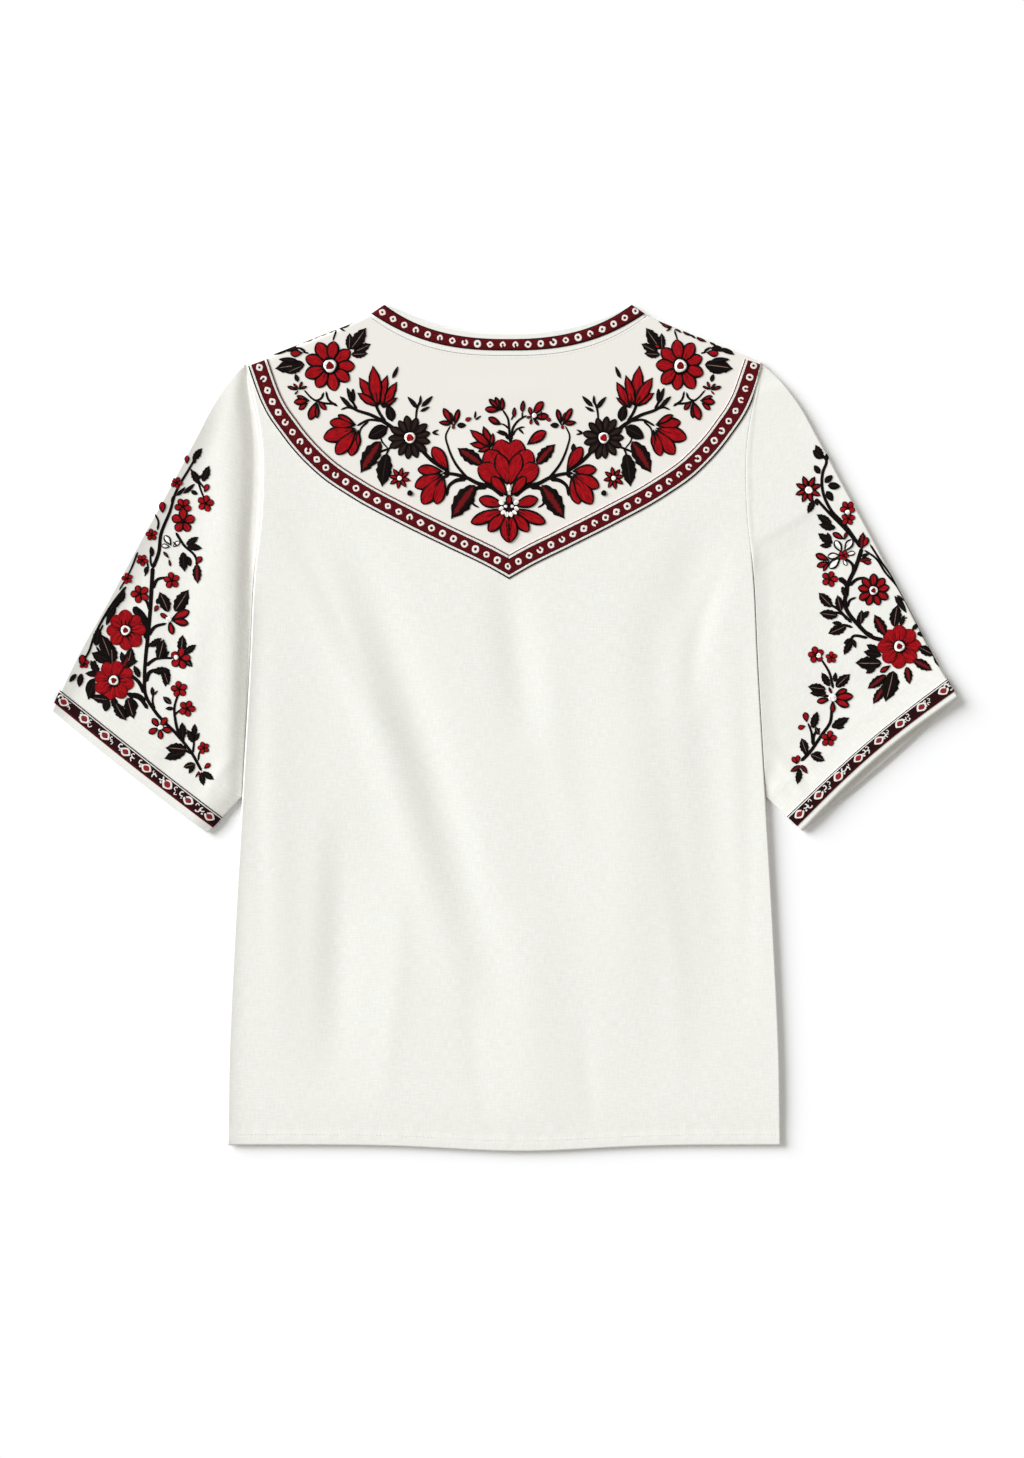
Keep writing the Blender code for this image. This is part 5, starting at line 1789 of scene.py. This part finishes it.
class MakeRibbons(bpy.types.Operator):
    """Makes the ribbons round the yoke and the neck"""

    bl_idname = "blouse.make_ribbons"
    bl_label = "Yoke and neck ribbons"

    def execute(self, context):
        wall = context.scene.blouse_ribbons.thickness / MM
        line = yoke_path(3.0)
        across = np.linspace(-0.5, 0.5, 9) * YOKE_TRIM_WIDTH
        side = mitred(line)
        x = line[:, 0] + across[:, None] * side[:, 0]
        y = line[:, 1] + across[:, None] * side[:, 1]
        y = np.minimum(y, back_outline_y(x) - YOKE_END_GAP)
        edge = half_width(y) - YOKE_END_GAP
        x = np.clip(x, -edge, edge)
        strip = stack(x, y, back_height(x, y) + RIBBON_LIFT)
        material = shared_material("Yoke ribbon", ribbon_material, YOKE_BANDS)
        cut = along_and_across(line, across)
        yoke = cloth_piece("yoke_ribbon", strip, cut, material, wall, 1.0)
        finish_piece(yoke, "woven_ribbon", "yoke_trim")
        length = lengths_along(line)[-1]
        grid_area(strip)
        lay_motifs("yoke_ribbon_motifs", YOKE_RUNS, length, beside_line(line), ribbon_threads())

        out = np.linspace(-1, 1, 161)
        # The shoulder cuts the ribbon's ends at a slant, so they take up more of the band.
        low = NECK_TRIM_FROM + (NECK_TRIM_END_FROM - NECK_TRIM_FROM) * np.abs(out) ** 5
        high = NECK_TRIM_TO + (NECK_TRIM_END_TO - NECK_TRIM_TO) * np.abs(out) ** 5
        shares = low + (high - low) * np.linspace(0, 1, 5)[:, None]
        x, y = neck_strip(out, band_seam_y, neck_edge_y, shares)
        strip = stack(x, y, back_height(x, y) + RIBBON_LIFT)
        middle = strip[2, :, :2]
        cut = along_and_across(middle, np.linspace(-0.5, 0.5, 5) * 2 * NECK_BANDS[-1].to)
        material = shared_material("Neck ribbon", ribbon_material, NECK_BANDS)
        neck = cloth_piece("neck_ribbon", strip, cut, material, wall, 1.0)
        finish_piece(neck, "woven_ribbon", "neck_trim")
        length = lengths_along(middle)[-1]
        strip_size(strip)
        grid_area(strip)
        lay_motifs("neck_ribbon_motifs", NECK_RUNS, length, beside_line(middle), ribbon_threads())
        return {"FINISHED"}


def petal_grid(shape, length, wide):
    """A satin-stitched shape's points along and across its axis, and how wide it is at each row."""
    s = np.linspace(0, 1, shape.rows)[:, None]
    if not shape.teeth:
        s = 1 - (1 - s) ** TIP_CROWDING
    v = np.linspace(-1, 1, shape.columns)[None, :]
    swell = np.sin(math.pi * shape.end * s**shape.swell) ** shape.power
    half = 0.5 * wide * length * swell / swell.max()
    if shape.teeth:
        half = half * (1 - shape.bite * np.mod(shape.teeth * s * 0.999, 1.0))
    tip = 1 - shape.blunt * v**2
    along = length * s * (1 + (tip - 1) * s**2)
    across = half * v + shape.bend * length * s**2
    return along, across, half, s, v


class Needlework:
    """Gathers satin-stitched shapes for one piece, in the plan of one half of the blouse."""

    def __init__(self, seed, fullness):
        self.random = np.random.default_rng(seed)
        self.fullness = fullness
        self.grids = []

    def place(self, half, x, y, lift, hue, rim, lay, core):
        """Keeps one grid of stitches; half is where its half of the blouse lies."""
        order = slice(None, None, -1) if half.flip else slice(None)
        x, y = np.broadcast_arrays(half.centre + half.scale * x, y)
        fields = [np.broadcast_to(f, x.shape)[:, order] for f in (x, y, lift, *rim, *lay, *core)]
        number = self.random.uniform(0, 60)
        self.grids.append((np.stack(fields, axis=-1), hue, number))

    def shape(self, half, name, hue_name, base, turn, length, wide, lift):
        shape, hue = SHAPES[name], HUES[hue_name]
        along, across, width, s, v = petal_grid(shape, length, shape.wide * wide)
        c, d = math.cos(math.radians(turn)), math.sin(math.radians(turn))
        x = base[0] + along * c + across * d
        y = base[1] + along * d - across * c
        line = np.clip(OUTLINE_SHARE * length, OUTLINE_LEAST, OUTLINE)
        rim = ((1 - np.abs(v)) * width / line, FAR)
        reach = max(hue.reach, 0.001)
        if hue.midrib:
            core = np.abs(v) * 0.35 / reach + 4 * np.clip(0.12 - s, 0, 1) + 4 * np.clip(s - 0.8, 0, 1)
            lay = (0.7 * (along - np.abs(across)), 0.7 * (along + np.abs(across)))
        else:
            core, lay = s * 0.35 / reach + 0.25 * (1 - np.cos(math.pi * 3 * v)), (along, across)
        dome = DOME * (1 - v**2) * np.sin(math.pi * np.clip(s * 1.02, 0.02, 0.98))
        self.place(half, x, y, lift + dome, hue, rim, lay, (core, hue.outline))

    def disc(self, half, hue_name, centre, radius, lift):
        hue = HUES[hue_name]
        s = np.linspace(0.04, 1, 5)[:, None]
        turn = np.linspace(0, -2 * math.pi, 17)[None, :]
        wobble = 1 + 0.06 * np.sin(3 * turn + self.random.uniform(0, 6)) * s
        x = centre[0] + radius * s * wobble * np.cos(turn)
        y = centre[1] + radius * s * wobble * np.sin(turn)
        rise = lift + 0.2 * (1 - s**2)
        rim = ((1 - s) * radius / DISC_OUTLINE, FAR)
        self.place(half, x, y, rise, hue, rim, (turn * radius, s * radius), (FAR, hue.outline))

    def part(self, half, part, row, lift):
        """Sews one part of a sprig where its row of the table puts it."""
        base, turn, size = (row.out, row.up), row.turn + part.turn, row.size * part.size
        self.shape(half, part.shape, part.hue, base, turn, size, part.wide, lift)

    def flower(self, half, flower, row):
        base = np.array((row.out, row.up))
        for number in range(flower.count):
            turn = row.turn + 360.0 * number / flower.count + self.random.uniform(-3, 3)
            size = row.size * self.random.uniform(0.94, 1.04)
            toward = np.array((math.cos(math.radians(turn)), math.sin(math.radians(turn))))
            start, length = base + flower.inner * size * toward, size * (1 - flower.inner)
            lift = PETAL_LIFT + PLY * (number % 3)
            self.shape(half, flower.shape, flower.hue, start, turn, length, flower.wide, lift)
        for number, disc in enumerate(flower.discs):
            self.disc(half, disc.hue, base, row.size * disc.share, DISC_LIFT + DISC_PLY * number)

    def motif(self, half, row):
        if row.kind in FLOWERS:
            self.flower(half, FLOWERS[row.kind], row)
            return
        for number, part in enumerate(SPRIGS[row.kind]):
            low = LEAF_LIFT if part.hue.startswith("black") else PETAL_LIFT
            self.part(half, part, row, low + SPRIG_PLIES * PLY * ((number + len(self.grids)) % 6))

    def stem(self, half, row):
        points = np.array(row.points, float)
        chord = lengths_along(points)
        steps = max(4, round(chord[-1] / STEM_STEP))
        at = np.linspace(0, chord[-1], steps + 1)
        rows = (np.column_stack([chord, points[:, axis]]) for axis in range(2))
        line = np.column_stack([curve_through(places, at) for places in rows])
        run = np.gradient(line, axis=0)
        run /= np.linalg.norm(run, axis=1)[:, None]
        share = at / chord[-1]
        width = row.from_width + (row.to_width - row.from_width) * share
        taper = np.sqrt(np.clip(np.minimum(at, chord[-1] - at) / STEM_TAPER, 0.05, 1))
        width = 0.5 * self.fullness * width * taper
        v = np.linspace(-1, 1, 5)[None, :]
        x = line[:, :1] + run[:, 1:] * width[:, None] * v
        y = line[:, 1:] - run[:, :1] * width[:, None] * v
        lift = STEM_LIFT + STEM_PLIES * PLY * (len(self.grids) % 3) + DOME * (1 - v**2) * np.ones_like(x)
        lay = (0.7 * at[:, None] + v, 0.7 * at[:, None] - v)
        self.place(half, x, y, lift, HUES["black"], (FAR, FAR), lay, (FAR, 0.0))

    def piece(self, name, settle, material):
        """All the stitches as one mesh, laid on the cloth by settle."""
        points, faces, first = [], [], 0
        columns = {"thread": [], "vein": [], "rim": [], "lay": [], "core": []}
        for fields, hue, number in self.grids:
            rows, across = fields.shape[:2]
            faces.append(grid_faces(rows, across, first))
            first += rows * across
            flat = fields.reshape(-1, fields.shape[-1])
            points.append(flat[:, :3])
            zero = np.zeros(len(flat))
            columns["thread"].append(np.tile(srgb(hue.fill), (len(flat), 1)))
            columns["vein"].append(np.tile(srgb(hue.vein), (len(flat), 1)))
            columns["rim"].append(np.column_stack([flat[:, 3], flat[:, 4], zero]))
            columns["lay"].append(np.column_stack([flat[:, 5], flat[:, 6], zero + number]))
            columns["core"].append(np.column_stack([flat[:, 7], flat[:, 8], zero]))
        plan = np.concatenate(points)
        placed = settle(plan[:, 0], plan[:, 1], plan[:, 2])
        piece = new_piece(name, placed, np.concatenate(faces), material)
        for column, values in columns.items():
            kind = "FLOAT_COLOR" if column in ("thread", "vein") else "FLOAT_VECTOR"
            set_point_values(piece, column, kind, np.concatenate(values))
        return thicken(piece, STITCH_THICK, 1.0)


Half = namedtuple("Half", "centre scale flip")
LEFT_HALF = Half(EMBROIDERY_X, -1.0, True)
RIGHT_HALF = Half(EMBROIDERY_X, RIGHT_HALF_SCALE, False)
SLEEVE_HALF = {"left": Half(0.0, 1.0, True), "right": Half(0.0, 1.0, False)}


def embroider(work, half, stems, motifs):
    for row in stems:
        work.stem(half, row)
    for row in motifs:
        work.motif(half, row)


def yoke_embroidery(material):
    work = Needlework(11, YOKE_STEM_FULLNESS)
    embroider(work, LEFT_HALF, YOKE_STEMS, YOKE_MOTIFS + YOKE_LEFT_ONLY)
    embroider(work, RIGHT_HALF, YOKE_STEMS, YOKE_MOTIFS + YOKE_RIGHT_ONLY)
    embroider(work, RIGHT_HALF, SPRAY_STEMS, ())
    for number, row in enumerate(PANSY):
        for half in (LEFT_HALF, RIGHT_HALF):
            for part in SPRIGS[row.kind]:
                work.part(half, part, row, PETAL_LIFT + PANSY_PLIES * PLY * number)
    for number, row in enumerate(HEART):
        for half in (LEFT_HALF, RIGHT_HALF):
            lift = DISC_LIFT + HEART_PLY * number
            work.shape(half, row.shape, row.hue, (row.out, row.up), row.turn, row.size, row.wide, lift)
    return work.piece("yoke_embroidery", BackCloth.settle, material)


class MakeSewing(bpy.types.Operator):
    """Sews the hem, the neck band's seam and the cuffs' hems with small stitches"""

    bl_idname = "blouse.make_sewing"
    bl_label = "Sewing"

    def execute(self, context):
        thread = sewing_thread()
        x = np.linspace(-0.99, 0.99, 120) * SIDE[0].half_width
        hem = np.column_stack([x, hem_y(x) + HEM_STITCH_Y])
        x = np.linspace(-0.96, 0.96, 90) * BAND_HALF
        neck = np.column_stack([NECK_X + x, band_seam_y(x) + NECK_STITCH_Y])
        seams = {"hem_stitches": (hem, 0.9 * HEM_FOLD_STEP), "neck_stitches": (neck, 0.0)}
        for name, (line, base) in seams.items():
            settle = beside_line(line, base)
            lay_motifs(name, STITCH_RUNS, lengths_along(line)[-1], settle, thread, STITCH_RISE, "linen")
        for side in CUFFS:
            cloth = SleeveCloth(side)
            settle = round_cuff(cloth, CUFF_STITCH, 0.0)
            length = cloth.arc[-1, -1] - CUFF_STITCH_END
            name = f"cuff_stitches_{side}"
            lay_motifs(name, STITCH_RUNS, length, settle, thread, STITCH_RISE, "linen")
        return {"FINISHED"}


class MakeEmbroidery(bpy.types.Operator):
    """Embroiders the yoke and both sleeves in satin stitch"""

    bl_idname = "blouse.make_embroidery"
    bl_label = "Embroidery"

    def execute(self, context):
        settings = context.scene.blouse_embroidery
        material = shared_material("Satin-stitch cotton", satin_stitch_material, settings)
        finish_piece(yoke_embroidery(material), "woven_ribbon")
        tables = {
            "left": (LEFT_SLEEVE_STEMS, LEFT_SLEEVE_MOTIFS),
            "right": (RIGHT_SLEEVE_STEMS, RIGHT_SLEEVE_MOTIFS),
        }
        for number, (side, (stems, motifs)) in enumerate(tables.items()):
            work = Needlework(21 + number, SLEEVE_STEM_FULLNESS)
            embroider(work, SLEEVE_HALF[side], stems, motifs)
            cloth = SleeveCloth(side)
            piece = work.piece(f"sleeve_embroidery_{side}", cloth.settle, material)
            finish_piece(piece, "woven_ribbon")
        return {"FINISHED"}


def sun_light(name, toward, strength, angle, colour):
    """A soft distant light that shines from the direction of toward."""
    data = bpy.data.lights.new(name, "SUN")
    data.energy = strength
    data.angle = math.radians(angle)
    data.color = colour
    light = bpy.data.objects.new(name, data)
    light.location = toward
    light.rotation_euler = Vector(toward).to_track_quat("Z", "Y").to_euler()
    bpy.context.scene.collection.objects.link(light)
    return light


class MakeStage(bpy.types.Operator):
    """Makes the floor, the lights and the camera"""

    bl_idname = "blouse.make_stage"
    bl_label = "Floor, lights and camera"

    def execute(self, context):
        settings = context.scene.blouse_stage
        material, tree, shader = new_material("Pale studio floor")
        shader.inputs["Base Color"].default_value = (0.97, 0.97, 0.97, 1.0)
        shader.inputs["Roughness"].default_value = 0.9
        shader.inputs["Specular IOR Level"].default_value = 0.1
        span = FLOOR_HALF * np.array([[-1, -1, 0], [1, -1, 0], [-1, 1, 0], [1, 1, 0]], float)
        floor = new_piece("studio_floor", span, np.array([[0, 1, 3, 2]]), material)
        floor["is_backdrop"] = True

        world = bpy.data.worlds.new("studio")
        world.use_nodes = True
        background = world.node_tree.nodes["Background"]
        background.inputs["Color"].default_value = (1.0, 0.975, 0.93, 1.0)
        background.inputs["Strength"].default_value = settings.ambient
        context.scene.world = world
        sun_light("key", KEY_TOWARD, settings.key_strength, KEY_ANGLE, (0.97, 1.0, 1.03))

        context.scene.view_settings.view_transform = "Standard"
        data = bpy.data.cameras.new("camera")
        data.lens = LENS
        data.sensor_width = SENSOR
        data.clip_end = 40.0
        camera = bpy.data.objects.new("camera", data)
        camera.location = (FRAME_X * MM, FRAME_Y * MM, FRAME_LONG * MM * LENS / SENSOR)
        context.scene.collection.objects.link(camera)
        context.scene.camera = camera
        return {"FINISHED"}


OPERATORS = (MakeStage, MakePanels, MakeSleeves, MakeRibbons, MakeSewing, MakeEmbroidery)
SETTINGS = {
    "blouse_linen": BlouseLinen,
    "blouse_ribbons": BlouseRibbons,
    "blouse_embroidery": BlouseEmbroidery,
    "blouse_stage": BlouseStage,
}


class BlousePanel(bpy.types.Panel):
    """Lists the blouse's settings and the steps that make it"""

    bl_idname = "VIEW3D_PT_blouse"
    bl_label = "Embroidered blouse"
    bl_space_type = "VIEW_3D"
    bl_region_type = "UI"
    bl_category = "Blouse"

    def draw(self, context):
        for name, group in SETTINGS.items():
            settings = getattr(context.scene, name)
            for field in group.__annotations__:
                self.layout.prop(settings, field)
        for operator in OPERATORS:
            self.layout.operator(operator.bl_idname)


def register():
    for group in SETTINGS.values():
        bpy.utils.register_class(group)
    for operator in OPERATORS:
        bpy.utils.register_class(operator)
    bpy.utils.register_class(BlousePanel)
    for name, group in SETTINGS.items():
        setattr(bpy.types.Scene, name, PointerProperty(type=group))


def unregister():
    for name in SETTINGS:
        delattr(bpy.types.Scene, name)
    bpy.utils.unregister_class(BlousePanel)
    for operator in reversed(OPERATORS):
        bpy.utils.unregister_class(operator)
    for group in SETTINGS.values():
        bpy.utils.unregister_class(group)


def main():
    register()
    bpy.ops.blouse.make_stage()
    bpy.ops.blouse.make_panels()
    bpy.ops.blouse.make_sleeves()
    bpy.ops.blouse.make_ribbons()
    bpy.ops.blouse.make_sewing()
    bpy.ops.blouse.make_embroidery()
    boxes = {"cad": CAD_BOX, "visual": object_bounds()}
    sizes = {name: [list(corner) for corner in box] for name, box in boxes.items()}


if __name__ == "__main__":
    main()
